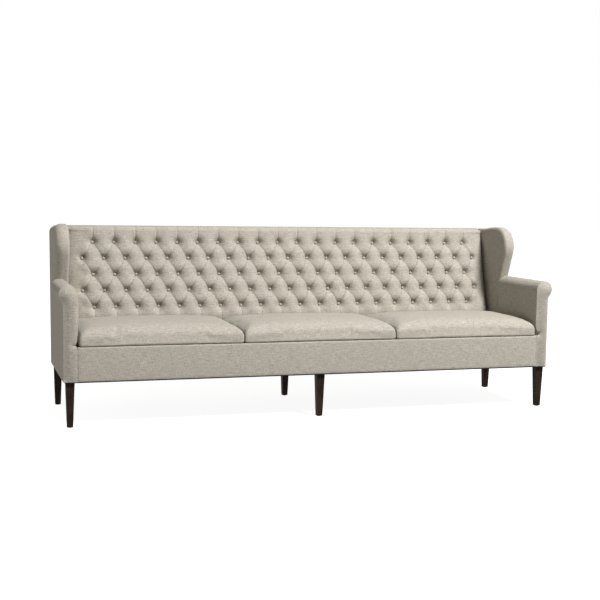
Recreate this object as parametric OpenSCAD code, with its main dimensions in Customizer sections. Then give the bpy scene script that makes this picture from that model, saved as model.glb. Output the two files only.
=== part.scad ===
// Long wing-back sofa with a diamond-tufted back, scroll arms, three loose seat cushions and six tapered legs.
// X runs along the sofa, the front faces -Y, the floor is Z = 0, and the origin is under the middle.
// Left means the -X end. Millimetres.

/* [Overall] */
// Width over the two arm bodies, without the scrolls
body_w = 2750; // [2500:10:3000]
// Depth from the front face to the top of the outside back
depth = 796; // [780:1:840]
// Height of the tufted back
back_h = 1012; // [1000:1:1040]
// Clear height under the frame
base_h = 237; // [215:1:260]
// Height of the deck that the cushions lie on
deck_h = 414; // [405:1:425]

/* [Arms] */
// Thickness of an arm and of the wing above it
arm_w = 77; // [74:1:86]
// Height of the top of the scroll
arm_h = 729; // [722:1:745]
// Radius of the scroll
scroll_r = 48; // [44:1:52]
// How far the scroll stands out of the arm's outer face
scroll_out = 23; // [16:1:28]
// Drop from the scroll's top to the arm's inner edge
arm_shoulder = 7; // [4:1:10]
// Rounding of the arm's inner top edge
arm_edge_r = 44; // [30:1:46]
// How far the arm's inner face is drawn in at the deck
crease_d = 28; // [18:1:30]
// Height of that crease above the deck
crease_z = 9; // [4:1:14]
// Height above the deck where the arm's inner face is full again
crease_top = 90; // [70:1:110]
// Drop of the crease's lower end below the deck
crease_low = 9; // [4:1:14]
// Step from the arm's inner face to its seam beside the front rail
rail_seam = 4; // [2:1:6]

/* [Wings] */
// How far a wing stands above the back
wing_rise = 12; // [4:1:38]
// Run of a wing from its nose to the top of the outside back
wing_run = 394; // [370:1:416]
// Radius of the wing's nose, as a share of the wing's height above the arm
wing_nose_share = 0.356; // [0.31:0.002:0.39]
// Run of the wing's foot on the arm to the top of the outside back
wing_foot_run = 318; // [306:1:331]
// Drop from the scroll's top to the joint between arm and wing
wing_foot_drop = 39; // [31:1:45]
// Rounding of the wing's padded edge
wing_round = 34; // [26:1:36]

/* [Back] */
// Lean of the outside back, degrees
rear_rake = 5.7; // [5:0.1:6.4]
// Lean of the tufted face, degrees
face_rake = 13.8; // [13:0.1:14.5]
// From the buttons in the middle row to the top of the outside back
face_set = 150; // [141:1:156]
// Height of the middle row of buttons above the deck, as a share of the back's height above it
mid_row_share = 0.5418; // [0.525:0.0002:0.555]
// Height from one row of buttons to the next, as such a share
row_gap_share = 0.1505; // [0.14:0.0005:0.157]
// Spacing of the buttons in a row
tuft_pitch = 120.7; // [108:0.1:135]
// Depth of the tufts
tuft_depth = 32; // [24:1:34]
// Least plain strip between the outermost buttons and a wing
tuft_margin = 80; // [60:1:100]
// Rounding of the back's top front edge
top_roll_r = 34; // [24:1:40]
// Radius of a button
button_r = 9.5; // [8:0.5:10]
// Height of a button's dome
button_dome = 4.2; // [3:0.1:6]
// Thickness of a button under its dome
button_t = 2; // [1:0.1:3]

/* [Cushions] */
// Number of loose seat cushions
cushion_count = 3; // [3:1:3]
// From the back of the cushions to the top of the outside back
cushion_set = 232; // [232:1:256]
// Height of a cushion at its edge
cushion_h = 92; // [84:1:100]
// Extra height of a cushion at its middle
cushion_crown = 24; // [14:1:30]
// Radius of a cushion's corners in plan
cushion_corner_r = 26; // [18:1:36]
// How far a cushion's sides are drawn in between its corners
cushion_pull = 5; // [3:0.5:8]
// Gap beside each cushion
cushion_gap = 1; // [0.6:0.1:3]

/* [Legs] */
// Side of a leg at its top
leg_top_w = 45; // [38:1:46]
// Side of a leg at its foot
leg_foot_w = 30; // [24:1:34]
// Radius of the glide under a leg
glide_r = 11; // [8:0.5:13]
// Height of a glide
glide_h = 3; // [2:0.5:4]
// How far a front leg stands behind the middle of its rail
front_leg_set = 5; // [0:1:8]
// From the arm's outer face to the middle of the legs at the ends
leg_set = 35; // [28:1:38]

/* [Frame] */
// Thickness of the front and rear rails and depth of the posts
rail_t = 45; // [40:1:48]
// Width of a post
post_w = 34; // [33:1:36]
// Thickness of the side and cross rails
side_rail_t = 32; // [26:1:33]
// Thickness of the back's boards
board_t = 28; // [24:1:30]
// Thickness of a wing board
wing_board_t = 18; // [15:1:20]
// Padding on the front of the rail and the arms
front_pad = 12; // [8:1:14]
// Padding on the outer side of the arms
side_pad = 12; // [9:1:14]
// Thickness of the outside back
rear_pad = 6; // [4:1:8]
// Spacing of the seat springs
spring_pitch = 124; // [110:1:140]

/* [Hidden] */
$fn = 48;
cut = 2;
fit_gap = 0.3;
bolt_gap = 0.05;

front_y = -depth/2;
outer_x = body_w/2;
inner_x = outer_x - arm_w;
post_x1 = outer_x - side_pad;
post_x0 = post_x1 - post_w;
post_mid_x = (post_x0 + post_x1)/2;
side_rail_x0 = post_x1 - side_rail_t;
rail_y0 = front_y + front_pad;
rail_y1 = rail_y0 + rail_t;
rail_d = rear_pad + rail_t;
cushion_d = depth - cushion_set;
board_d = rear_pad + board_t;

outer_drop = 8;
outer_top_z = back_h - outer_drop;

dust_t = 3;
dust_inset = 6;
frame_z = base_h;
deck_pad_t = 20;
deck_cloth_t = 1.5;
wire_t = 3.8;
clip_t = 1.5;
deck_pad_z = deck_h - deck_pad_t;
deck_cloth_z = deck_pad_z - deck_cloth_t;
rail_top_z = deck_cloth_z - clip_t - wire_t;

wing_h = back_h + wing_rise;
wing_foot_z = arm_h - wing_foot_drop;
wing_foot_y = depth - wing_foot_run;
wing_nose_y = depth - wing_run;
wing_nose_r = wing_nose_share*(wing_h - wing_foot_z);
wing_inset_share = 0.22;
wing_inset = wing_inset_share*wing_nose_r;
mid_row_z = deck_h + mid_row_share*(back_h - deck_h);
row_gap = row_gap_share*(back_h - deck_h);

arm_rail_t = 22;
arm_rail_z1 = wing_foot_z - 28/22*arm_rail_t;
arm_rail_z0 = arm_rail_z1 - arm_rail_t;
scroll_x = outer_x + scroll_out - scroll_r;
scroll_z = arm_h - scroll_r;
scroll_rail_r = 22;
strut_w = 45;
strut_y = front_y + 300/796*depth;

back_rail_w = 48;
top_rail_drop = 27;
back_rail_z1 = back_h - top_rail_drop;
back_rail_z0 = back_rail_z1 - back_rail_w;
tack_gap = 16;
tack_rail_z0 = deck_h + tack_gap;
tack_rail_z1 = tack_rail_z0 + back_rail_w;
strap_t = 2;
strap_w = 60;
strap_pitch = 130;
hessian_t = 1.2;
strap_d = board_d + strap_t;
hessian_d = strap_d + hessian_t;
pad_back_d = hessian_d + fit_gap;
deck_back_d = 40;
upright_w = 45;

cross_rail_h = 100;
block_w = 45;
block_h = 100;
block_lift = 20;
screw_r = 2.5;
screw_head_r = 5;
screw_head_h = 3;
screw_bite = 22;
dowel_r = 6;
dowel_reach = 26;
dowel_lift_shares = [0.5, 0.8];

bolt_r = 4;
bolt_in_leg = 45;
bolt_in_frame = 48;
insert_r = 6;
insert_h = 20;

fabric = "#bcb2a2";
lining = "#8f8778";
timber = "#c9a878";
ebony = "#2b211c";
steel = "#9a9a9c";
hemp = "#a58a5c";
foam = "#e8ddb5";
black = "#222222";

// The outside back's plane: its Y at a height. Depths into the back are level distances from it.
function rear_y(z) = depth/2 - (outer_top_z - z)*tan(rear_rake);

// The plane that the buttons lie on: its Y at a height.
function face_y(z) = depth/2 - face_set + (z - mid_row_z)*tan(face_rake);

function smooth(t) = let (k = max(0, min(1, t))) k*k*(3 - 2*k);

// Corner i of an open line, moved d to its left, with mitred corners.
function beside(p, i, d) =
    let (
        a = p[max(i - 1, 0)],
        b = p[i],
        c = p[min(i + 1, len(p) - 1)],
        u = i == 0 ? (c - b)/norm(c - b) : (b - a)/norm(b - a),
        v = i == len(p) - 1 ? u : (c - b)/norm(c - b),
        m = (u + v)/norm(u + v)
    )
    b + d/(u*m)*[-m.y, m.x];

// The outline of a bent wire of thickness t along an open line.
function wire_outline(p, t) = concat(
    [for (i = [0:len(p) - 1]) beside(p, i, t/2)],
    [for (i = [len(p) - 1:-1:0]) beside(p, i, -t/2)]
);

function total(v, i = 0) = i == len(v) - 1 ? v[i] : v[i] + total(v, i + 1);
function middle(ring) = total(ring)/len(ring);

// A closed solid over a stack of rings with equally many points, its flat ends fanned from their middles.
module ring_solid(rings) {
    n = len(rings[0]);
    top = (len(rings) - 1)*n;
    polyhedron(
        concat([for (r = rings) each r], [middle(rings[0]), middle(rings[len(rings) - 1])]),
        concat(
            [for (r = [0:len(rings) - 2], i = [0:n - 1], h = [0:1])
                let (a = r*n + i, b = r*n + (i + 1)%n)
                h == 0 ? [a, a + n, b + n] : [a, b + n, b]],
            [for (i = [0:n - 1]) [top + n, i, (i + 1)%n]],
            [for (i = [0:n - 1]) [top + n + 1, top + (i + 1)%n, top + i]]
        )
    );
}

module along_x(x0, x1) {
    translate([x0, 0, 0]) rotate([90, 0, 90]) linear_extrude(x1 - x0) children();
}

module along_y(y0, y1) {
    translate([0, y1, 0]) rotate([90, 0, 0]) linear_extrude(y1 - y0) children();
}

module block(x0, x1, y0, y1, z0, z1) {
    translate([x0, y0, z0]) cube([x1 - x0, y1 - y0, z1 - z0]);
}

// A board that leans with the outside back, from depth d0 to depth d1 in it.
module raked_board(x0, x1, d0, d1, z0, z1) {
    along_x(x0, x1) polygon([
        [rear_y(z0) - d1, z0], [rear_y(z0) - d0, z0],
        [rear_y(z1) - d0, z1], [rear_y(z1) - d1, z1]
    ]);
}

// A level board from y0 back to depth d in the back.
module board_to_back(x0, x1, y0, d, z0, z1) {
    along_x(x0, x1) polygon([
        [y0, z0], [rear_y(z0) - d, z0], [rear_y(z1) - d, z1], [y0, z1]
    ]);
}

// The right-hand piece as it is, or its mirror image on the left.
module at_side(side) {
    if (side > 0) children();
    else mirror([1, 0, 0]) children();
}

// Where the legs stand: the front ones under the front rail, the rear ones under the rear posts.
front_leg_y = (rail_y0 + rail_y1)/2 + front_leg_set;
rear_leg_y = rear_y(frame_z) - (rear_pad + rail_d)/2;
leg_xs = [leg_set - outer_x, 0, outer_x - leg_set];
leg_places = [for (y = [front_leg_y, rear_leg_y], x = leg_xs) [x, y]];

module leg(place) {
    top_z = base_h - dust_t;
    side = [
        [-leg_foot_w/2, glide_h], [leg_foot_w/2, glide_h],
        [leg_top_w/2, top_z], [-leg_top_w/2, top_z]
    ];
    color(ebony)
    translate([place.x, place.y, 0])
    difference() {
        intersection() {
            along_x(-leg_top_w/2, leg_top_w/2) polygon(side);
            along_y(-leg_top_w/2, leg_top_w/2) polygon(side);
        }
        translate([0, 0, top_z - bolt_in_leg]) cylinder(r = bolt_r + bolt_gap, h = bolt_in_leg + cut);
    }
}

module leg_glides() {
    color(steel)
    for (p = leg_places) translate([p.x, p.y, 0]) cylinder(r = glide_r, h = glide_h);
}

module leg_bolts() {
    bottom_z = base_h - dust_t - bolt_in_leg;
    color(steel)
    for (p = leg_places)
        translate([p.x, p.y, bottom_z]) cylinder(r = bolt_r, h = frame_z + bolt_in_frame - bottom_z);
}

module leg_inserts() {
    color(steel)
    for (p = leg_places) translate([p.x, p.y, frame_z]) difference() {
        cylinder(r = insert_r, h = insert_h);
        translate([0, 0, -cut]) cylinder(r = bolt_r + bolt_gap, h = insert_h + 2*cut);
    }
}

// The bores that the frame has for the inserts and the bolts.
module leg_bores() {
    for (p = leg_places) translate([p.x, p.y, frame_z]) {
        translate([0, 0, -cut]) cylinder(r = insert_r + bolt_gap, h = insert_h + cut);
        cylinder(r = bolt_r + fit_gap, h = bolt_in_frame + fit_gap);
    }
}

module dust_cover() {
    color(black)
    difference() {
        board_to_back(
            -outer_x + dust_inset, outer_x - dust_inset,
            front_y + dust_inset, dust_inset, base_h - dust_t, base_h
        );
        for (p = leg_places) translate([p.x, p.y, base_h - dust_t - cut])
            cylinder(r = bolt_r + bolt_gap, h = dust_t + 2*cut);
    }
}

// Dowels across the joints of the front and rear rails with the posts.
module dowels(gap = 0) {
    rail_h = rail_top_z - frame_z;
    for (side = [-1, 1], share = dowel_lift_shares) {
        z = frame_z + share*rail_h;
        for (y = [(rail_y0 + rail_y1)/2, rear_y(z) - (rear_pad + rail_d)/2])
            translate([side*post_x0 - dowel_reach - gap, y, z])
            rotate([0, 90, 0]) cylinder(r = dowel_r + gap, h = 2*(dowel_reach + gap));
    }
}

module frame_dowels() {
    color(timber) dowels();
}

module front_rail() {
    color(timber)
    difference() {
        block(-post_x0, post_x0, rail_y0, rail_y1, frame_z, rail_top_z);
        leg_bores();
        dowels(bolt_gap);
    }
}

module rear_rail() {
    color(timber)
    difference() {
        raked_board(-post_x0, post_x0, rear_pad, rail_d, frame_z, rail_top_z);
        leg_bores();
        dowels(bolt_gap);
    }
}

// Where the screws of the corner blocks lie: behind the front rail and before the rear one.
screw_spots = [for (share = [0.25, 0.75]) let (z = frame_z + block_lift + share*block_h)
    each [[rail_y1 + block_w/2, z], [rear_y(z) - rail_d - block_w/2, z]]];

module screw_bores() {
    for (side = [-1, 1], s = screw_spots)
        at_side(side) translate([side_rail_x0 - block_w - cut, s[0], s[1]]) rotate([0, 90, 0])
            cylinder(r = screw_r + bolt_gap, h = block_w + screw_bite + bolt_gap + cut);
}

module block_screws() {
    color(steel)
    for (side = [-1, 1], s = screw_spots)
        at_side(side) translate([side_rail_x0 - block_w, s[0], s[1]]) rotate([0, 90, 0]) {
            cylinder(r = screw_r, h = block_w + screw_bite);
            translate([0, 0, -screw_head_h]) cylinder(r = screw_head_r, h = screw_head_h);
        }
}

module corner_blocks() {
    z0 = frame_z + block_lift;
    color(timber)
    difference() {
        for (side = [-1, 1]) at_side(side) {
            block(side_rail_x0 - block_w, side_rail_x0, rail_y1, rail_y1 + block_w, z0, z0 + block_h);
            raked_board(side_rail_x0 - block_w, side_rail_x0, rail_d, rail_d + block_w, z0, z0 + block_h);
        }
        screw_bores();
    }
}

module side_rail(side) {
    color(timber)
    difference() {
        at_side(side) board_to_back(side_rail_x0, post_x1, rail_y1, rail_d, frame_z, rail_top_z);
        screw_bores();
    }
}

module cross_rails() {
    gap = (2*post_x0)/4;
    color(timber)
    for (k = [-1:1])
        board_to_back(
            k*gap - side_rail_t/2, k*gap + side_rail_t/2,
            rail_y1, rail_d, frame_z, frame_z + cross_rail_h
        );
}

module front_post(side) {
    color(timber)
    difference() {
        at_side(side) block(post_x0, post_x1, rail_y0, rail_y1, frame_z, arm_rail_z0);
        leg_bores();
        dowels(bolt_gap);
    }
}

module rear_post(side) {
    color(timber)
    difference() {
        at_side(side) raked_board(post_x0, post_x1, rear_pad, rail_d, frame_z, back_rail_z1);
        leg_bores();
        dowels(bolt_gap);
    }
}

module arm_rail(side) {
    color(timber)
    at_side(side) board_to_back(post_x0, post_x1, rail_y0, rail_d, arm_rail_z0, arm_rail_z1);
}

// The round core of the scroll, flat where it lies on the arm rail.
module scroll_core() {
    intersection() {
        translate([scroll_x, front_y + wing_foot_y, scroll_z]) rotate([90, 0, 0])
            cylinder(r = scroll_rail_r, h = wing_foot_y - front_pad);
        block(
            scroll_x - scroll_rail_r, scroll_x + scroll_rail_r,
            rail_y0, front_y + wing_foot_y, arm_rail_z1, arm_h
        );
    }
}

module scroll_rail(side) {
    color(timber) at_side(side) scroll_core();
}

module arm_strut(side) {
    color(timber)
    at_side(side) block(
        side_rail_x0, post_x1, strut_y - strut_w/2, strut_y + strut_w/2, rail_top_z, arm_rail_z0
    );
}

// The wing's side outline, drawn d inside its edge: up from the foot, round the nose and along the top
// to depth back_d in the back, and down to foot_z.
nose_y = front_y + wing_nose_y + wing_nose_r;
nose_z = wing_h - wing_nose_r;
foot_run = [front_y + wing_foot_y - nose_y, wing_foot_z - nose_z];
nose_end = atan2(-foot_run.y, -foot_run.x) + 180 - acos(wing_nose_r/norm(foot_run));
nose_steps = 14;

function wing_outline(d, back_d, foot_z) =
    let (
        lean = 180 - nose_end,
        slope = tan(-lean),
        foot_y = front_y + wing_foot_y + d/cos(lean) + (wing_foot_z - foot_z)*slope
    )
    concat(
        [[foot_y, foot_z]],
        [for (k = [0:nose_steps])
            let (a = nose_end + (90 - nose_end)*k/nose_steps)
            [nose_y + (wing_nose_r - d)*cos(a), nose_z + (wing_nose_r - d)*sin(a)]],
        [[rear_y(wing_h - d) - back_d, wing_h - d], [rear_y(foot_z) - back_d, foot_z]]
    );

module wing_core(gap = 0) {
    half_t = wing_board_t/2 + gap;
    along_x(post_mid_x - half_t, post_mid_x + half_t)
        polygon(wing_outline(wing_inset - gap, rail_d - gap, arm_rail_z1));
}

module wing_board(side) {
    color(timber) at_side(side) wing_core();
}

module back_top_rail() {
    color(timber) raked_board(-post_x0, post_x0, rear_pad, board_d, back_rail_z0, back_rail_z1);
}

module back_lower_rail() {
    color(timber) raked_board(-post_x0, post_x0, rear_pad, board_d, tack_rail_z0, tack_rail_z1);
}

module back_uprights() {
    gap = (2*post_x0)/4;
    color(timber)
    for (k = [-1:1])
        raked_board(
            k*gap - upright_w/2, k*gap + upright_w/2,
            rear_pad, board_d, tack_rail_z1, back_rail_z0
        );
}

module back_webbing() {
    n = floor((post_x0 - strap_w)/strap_pitch);
    color(hemp)
    for (k = [-n:n])
        raked_board(
            k*strap_pitch - strap_w/2, k*strap_pitch + strap_w/2,
            board_d, strap_d, tack_rail_z0, back_rail_z1
        );
}

module back_hessian() {
    x = post_x0 - fit_gap;
    color(hemp) raked_board(-x, x, strap_d, hessian_d, tack_rail_z0, back_rail_z1);
}

// Seat springs: flat zigzag wires from the front rail to the rear one.
spring_w = 46;
spring_step = 26;
spring_inset = 20;
spring_y0 = rail_y0 + spring_inset;
spring_run = rear_y(rail_top_z) - rear_pad - spring_inset - spring_y0;
spring_bars = floor(spring_run/spring_step);
spring_gap_y = spring_run/spring_bars;
spring_n = floor((post_x0 - spring_w)/spring_pitch);
spring_line = [for (i = [0:spring_bars])
    let (s = (i%2 == 0 ? 1 : -1)*spring_w/2)
    each [[-s, i*spring_gap_y], [s, i*spring_gap_y]]];

module seat_springs() {
    color(steel)
    for (k = [-spring_n:spring_n])
        translate([k*spring_pitch, spring_y0, rail_top_z])
        linear_extrude(wire_t) polygon(wire_outline(spring_line, wire_t));
}

module spring_clips() {
    clip_w = spring_w/2;
    clip_d = 3*wire_t;
    color(steel)
    for (k = [-spring_n:spring_n], y = [spring_y0, spring_y0 + spring_run])
        difference() {
            block(
                k*spring_pitch - clip_w/2, k*spring_pitch + clip_w/2,
                y - clip_d/2, y + clip_d/2, rail_top_z, rail_top_z + wire_t + clip_t
            );
            block(
                k*spring_pitch - clip_w, k*spring_pitch + clip_w,
                y - wire_t/2 - bolt_gap, y + wire_t/2 + bolt_gap,
                rail_top_z - cut, rail_top_z + wire_t + bolt_gap
            );
        }
}

module deck_hessian() {
    x = post_x0 - fit_gap;
    color(hemp) board_to_back(-x, x, rail_y0, deck_back_d, deck_cloth_z, deck_pad_z);
}

module deck_pad() {
    x = post_x0 - fit_gap;
    color(lining) board_to_back(-x, x, rail_y0, deck_back_d, deck_pad_z, deck_h);
}

module front_rail_cover() {
    x = inner_x + rail_seam;
    r = front_pad*2/3;
    color(fabric)
    along_x(-x, x) polygon(concat(
        [[rail_y0, base_h], [rail_y0, deck_h]],
        [for (a = [90:15:180]) [front_y + r + r*cos(a), deck_h - r + r*sin(a)]],
        [[front_y, base_h]]
    ));
}

// The arm's cross-section without its scroll: flush under the deck, drawn in at the crease, full above it.
module arm_section(top_z) {
    polygon(concat(
        [[inner_x + rail_seam, base_h], [inner_x + rail_seam, deck_h - crease_low]],
        [[inner_x + crease_d, deck_h + crease_z], [inner_x, deck_h + crease_top]],
        [for (a = [180:-15:90])
            [inner_x + arm_edge_r + arm_edge_r*cos(a), top_z - arm_edge_r + arm_edge_r*sin(a)]],
        [[scroll_x, top_z], [outer_x, scroll_z], [outer_x, base_h]]
    ));
}

// Room for the frame: inside the arm, beside the deck, and behind the pad of the back.
module arm_hollow() {
    far_y = depth/2 + cut;
    block(post_x0, post_x1, rail_y0, far_y, base_h - cut, arm_rail_z1);
    block(post_x0, post_x1, front_y + wing_foot_y, far_y, base_h - cut, wing_foot_z + cut);
    block(inner_x - cut, post_x0 + cut, rail_y0, far_y, base_h - cut, deck_h);
}

module back_room() {
    raked_board(inner_x - cut, post_x0 + cut, 0, pad_back_d, base_h - cut, back_rail_z1 + fit_gap);
}

// The arm in front of the wing, with its scroll.
module arm_front(gap = 0) {
    foot_y = front_y + wing_foot_y;
    along_y(front_y, foot_y) arm_section(arm_h - arm_shoulder);
    translate([scroll_x, foot_y, scroll_z]) rotate([90, 0, 0])
        cylinder(r = scroll_r + gap, h = wing_foot_y);
}

module arm_cover(side) {
    foot_y = front_y + wing_foot_y;
    color(fabric)
    at_side(side) difference() {
        union() {
            arm_front();
            intersection() {
                along_y(foot_y - cut, depth/2) arm_section(arm_h - arm_shoulder);
                board_to_back(inner_x - cut, outer_x + cut, foot_y - cut, rear_pad, base_h, wing_foot_z);
            }
        }
        arm_hollow();
        scroll_core();
        back_room();
    }
}

// A wing: its outline is drawn in towards both faces, so its front and top edges are round.
module wing_body() {
    steps = 5;
    levels = concat(
        [for (k = [0:steps]) let (a = 90*k/steps)
            [outer_x - wing_round*(1 - cos(a)), wing_round*(1 - sin(a))]],
        [for (k = [steps:-1:0]) let (a = 90*k/steps)
            [inner_x + wing_round*(1 - cos(a)), wing_round*(1 - sin(a))]]
    );
    ring_solid([for (l = levels) [for (q = wing_outline(l[1], rear_pad, wing_foot_z)) [l[0], q[0], q[1]]]]);
}

module wing_cover(side) {
    color(fabric)
    at_side(side) difference() {
        wing_body();
        arm_front(bolt_gap);
        wing_core(bolt_gap);
        raked_board(post_x0, post_x1, 0, rail_d, wing_foot_z - cut, back_rail_z1);
        back_room();
    }
}

module outside_back() {
    color(fabric) raked_board(-outer_x, outer_x, 0, rear_pad - bolt_gap, base_h, outer_top_z);
}

// The tufted back. u counts button spacings along the sofa and v counts pairs of rows up it, both from the
// middle, so the folds between the buttons lie where u - v or u + v is a half. Heights are shares of the
// tuft depth: none at a button, low along a fold and full at the crown of each diamond.
fold_share = 0.34;
crown_power_share = 0.62;
pleat_low_share = 0.5;
pleat_high_share = 0.8;
strip_share = 0.72;
wing_tuck_share = 0.3;
strip_run_share = 0.5;
tuft_n = floor((inner_x - tuft_margin)/tuft_pitch);
pad_x = inner_x - fit_gap;
end_u = pad_x/tuft_pitch;
pad_z0 = deck_h + 2*fit_gap;
roll_z = back_h - top_roll_r;
top_row_z = mid_row_z + 2*row_gap;
tuck_set = 216;

function fold_h(cs, ct) =
    (1 - fold_share)*pow(cs*ct, crown_power_share) + fold_share*max(cs, ct);
function lattice_h(u, v) = fold_h(abs(cos(180*(u - v))), abs(cos(180*(u + v))));
function pleat_h(u, k) =
    let (c = abs(cos(180*u)))
    fold_h(c, c)*(1 - k) + k*(pleat_low_share + (pleat_high_share - pleat_low_share)*c);
function body_h(u, v, k) = abs(v) > 1 ? pleat_h(u, k) : lattice_h(u, v);
function last_fold_u(v) = let (t = min(abs(v), 1)) tuft_n - 0.5 + abs(t - round(t));
function skin_h(u, v, k) =
    let (edge = last_fold_u(v), out = abs(u) - edge)
    out <= 0 ? body_h(u, v, k)
    : abs(u) >= end_u ? wing_tuck_share
    : let (h = body_h(edge, v, k)) h + (strip_share - h)*smooth(out/strip_run_share);

// The rows of points up the pad's face: height, v, how far the pleats have faded, and the roll's angle.
// The last row is straight, because the cloth lies flat over the top.
pad_rows = concat(
    [for (i = [-4:4]) [mid_row_z + i*row_gap/2, i/4, 0, 0]],
    [for (k = [0.5, 1]) [top_row_z + k*(roll_z - top_row_z), 1 + k, k, 0]],
    [for (a = [45, 90]) [roll_z, 2, 1, a]]
);
pad_us = let (mid = (tuft_n + end_u)/2) concat(
    [-end_u, -mid], [for (i = [-4*tuft_n:4*tuft_n]) i/4], [mid, end_u]
);
pad_cols = len(pad_us);
pad_levels = len(pad_rows) + 1;

function pad_point(u, row) =
    let (
        h = row[3] == 90 ? pleat_low_share : skin_h(u, row[1], row[2]),
        y = face_y(row[0]) - tuft_depth*h
    )
    [u*tuft_pitch, y + top_roll_r*(1 - cos(row[3])), row[0] + top_roll_r*sin(row[3])];

// Whether the fold in a square of the grid climbs to the right: its u - v is a half.
function is_half(d) = abs(d - floor(d) - 0.5) < 0.01;
function climbs(i, j) = j > 0 && is_half(pad_us[i] - pad_rows[max(j - 1, 0)][1]);

module tufted_back() {
    front = concat(
        [for (u = pad_us) [u*tuft_pitch, depth/2 - tuck_set, pad_z0]],
        [for (row = pad_rows, u = pad_us) pad_point(u, row)]
    );
    step_z = back_rail_z1 + fit_gap;
    rear = [for (x = [-pad_x, pad_x]) each [
        [x, rear_y(back_h) - rear_pad, back_h], [x, rear_y(step_z) - rear_pad, step_z],
        [x, rear_y(step_z) - pad_back_d, step_z], [x, rear_y(pad_z0) - pad_back_d, pad_z0]
    ]];
    n = pad_cols;
    last = (pad_levels - 1)*n;
    r = pad_levels*n;
    faces = concat(
        [for (j = [0:pad_levels - 2], i = [0:n - 2], h = [0:1])
            let (a = j*n + i, b = a + 1, c = a + n, d = a + n + 1)
            climbs(i, j)
            ? (h == 0 ? [a, c, d] : [a, d, b])
            : (h == 0 ? [a, c, b] : [c, d, b])],
        [concat([r, r + 4], [for (i = [n - 1:-1:0]) last + i])],
        [concat([r + 7, r + 3], [for (i = [0:n - 1]) i])],
        [[r, r + 1, r + 5, r + 4], [r + 1, r + 2, r + 6, r + 5], [r + 2, r + 3, r + 7, r + 6]],
        [concat([r + 2, r + 1, r], [for (j = [pad_levels - 1:-1:0]) j*n], [r + 3])],
        [concat([r + 6, r + 7], [for (j = [0:pad_levels - 1]) j*n + n - 1], [r + 4, r + 5])]
    );
    color(fabric) polyhedron(concat(front, rear), faces);
}

// A covered button on its shank, standing up from the bottom of its tuft.
shank_r = 2;
shank_lift = 1.9;
button_lift = 7.6;

module button() {
    translate([0, 0, shank_lift]) cylinder(r = shank_r, h = button_lift - shank_lift, $fn = 16);
    translate([0, 0, button_lift]) cylinder(r = button_r, h = button_t, $fn = 16);
    translate([0, 0, button_lift + button_t])
        cylinder(r1 = button_r, r2 = button_r/2, h = button_dome, $fn = 16);
}

module back_buttons() {
    color(fabric)
    for (r = [-2:2]) {
        z = mid_row_z + r*row_gap;
        us = r%2 == 0 ? [for (k = [-tuft_n:tuft_n - 1]) k + 0.5] : [for (k = [-tuft_n:tuft_n]) k];
        for (u = us)
            translate([u*tuft_pitch, face_y(z), z]) rotate([90 - face_rake, 0, 0]) button();
    }
}

// Loose seat cushions: a crowned box of cloth and fibre whose sides are drawn in, round a foam core.
cushion_w = (2*inner_x - (cushion_count + 1)*cushion_gap)/cushion_count;
cushion_y = front_y + cushion_gap/2 + cushion_d/2;
cushion_z = deck_h + fit_gap;
core_inset = 30;
core_skin = 13;
long_steps = 10;
short_steps = 6;
corner_steps = 4;

// The plan outline, counter-clockwise from the front left corner.
function cushion_side(half_l, half_w, steps, turn) =
    let (run = half_l - cushion_corner_r)
    [for (k = [0:steps - 1])
        let (s = -run + 2*run*k/steps, pull = cushion_pull*(1 - pow(s/run, 2)), c = cos(turn), n = sin(turn))
        [s*c + (half_w - pull)*n, s*n - (half_w - pull)*c]];
function cushion_corner(cx, cy, start) =
    [for (k = [0:corner_steps - 1])
        let (a = start + 90*k/corner_steps)
        [cx + cushion_corner_r*cos(a), cy + cushion_corner_r*sin(a)]];
cushion_plan = let (w = cushion_w/2, d = cushion_d/2, x = w - cushion_corner_r, y = d - cushion_corner_r) concat(
    cushion_side(w, d, long_steps, 0), cushion_corner(x, -y, -90),
    cushion_side(d, w, short_steps, 90), cushion_corner(x, y, 0),
    cushion_side(w, d, long_steps, 180), cushion_corner(-x, y, 90),
    cushion_side(d, w, short_steps, 270), cushion_corner(-x, -y, 180)
);

// Each ring up the cushion: how far it is drawn in, as a share of half the depth, and its height, as shares
// of the edge height and of the crown.
cushion_ring_shares = [
    [0.05, 0, 0], [0.018, 0.06, 0], [0.002, 0.28, 0], [0, 0.55, 0], [0.008, 0.8, 0], [0.034, 0.94, 0.03],
    [0.09, 1, 0.16], [0.2, 1, 0.44], [0.36, 1, 0.72], [0.56, 1, 0.9], [0.78, 1, 1]
];
corner_drop_share = 0.12;

function cushion_ring(share) =
    let (d = share[0]*cushion_d/2, z = share[1]*cushion_h + share[2]*cushion_crown)
    [for (p = cushion_plan)
        let (
            x = p.x*(1 - 2*d/cushion_w), y = p.y*(1 - 2*d/cushion_d),
            c = pow(abs(2*p.x/cushion_w)*abs(2*p.y/cushion_d), 4)*(1 - share[0])
        )
        [x, y, z*(1 - corner_drop_share*c*share[1])]];

module cushion_body() {
    ring_solid([for (s = cushion_ring_shares) cushion_ring(s)]);
}

module at_cushion(k) {
    translate([k*(cushion_w + cushion_gap), cushion_y, cushion_z]) children();
}

module core_box(gap) {
    translate([-cushion_w/2 + core_inset + gap, -cushion_d/2 + core_inset + gap, core_skin + gap])
        cube([
            cushion_w - 2*(core_inset + gap), cushion_d - 2*(core_inset + gap),
            cushion_h - 2*(core_skin + gap)
        ]);
}

module cushion_cover(k) {
    color(fabric)
    at_cushion(k) difference() {
        cushion_body();
        core_box(0);
    }
}

module cushion_core(k) {
    color(foam) at_cushion(k) core_box(fit_gap);
}

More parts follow.
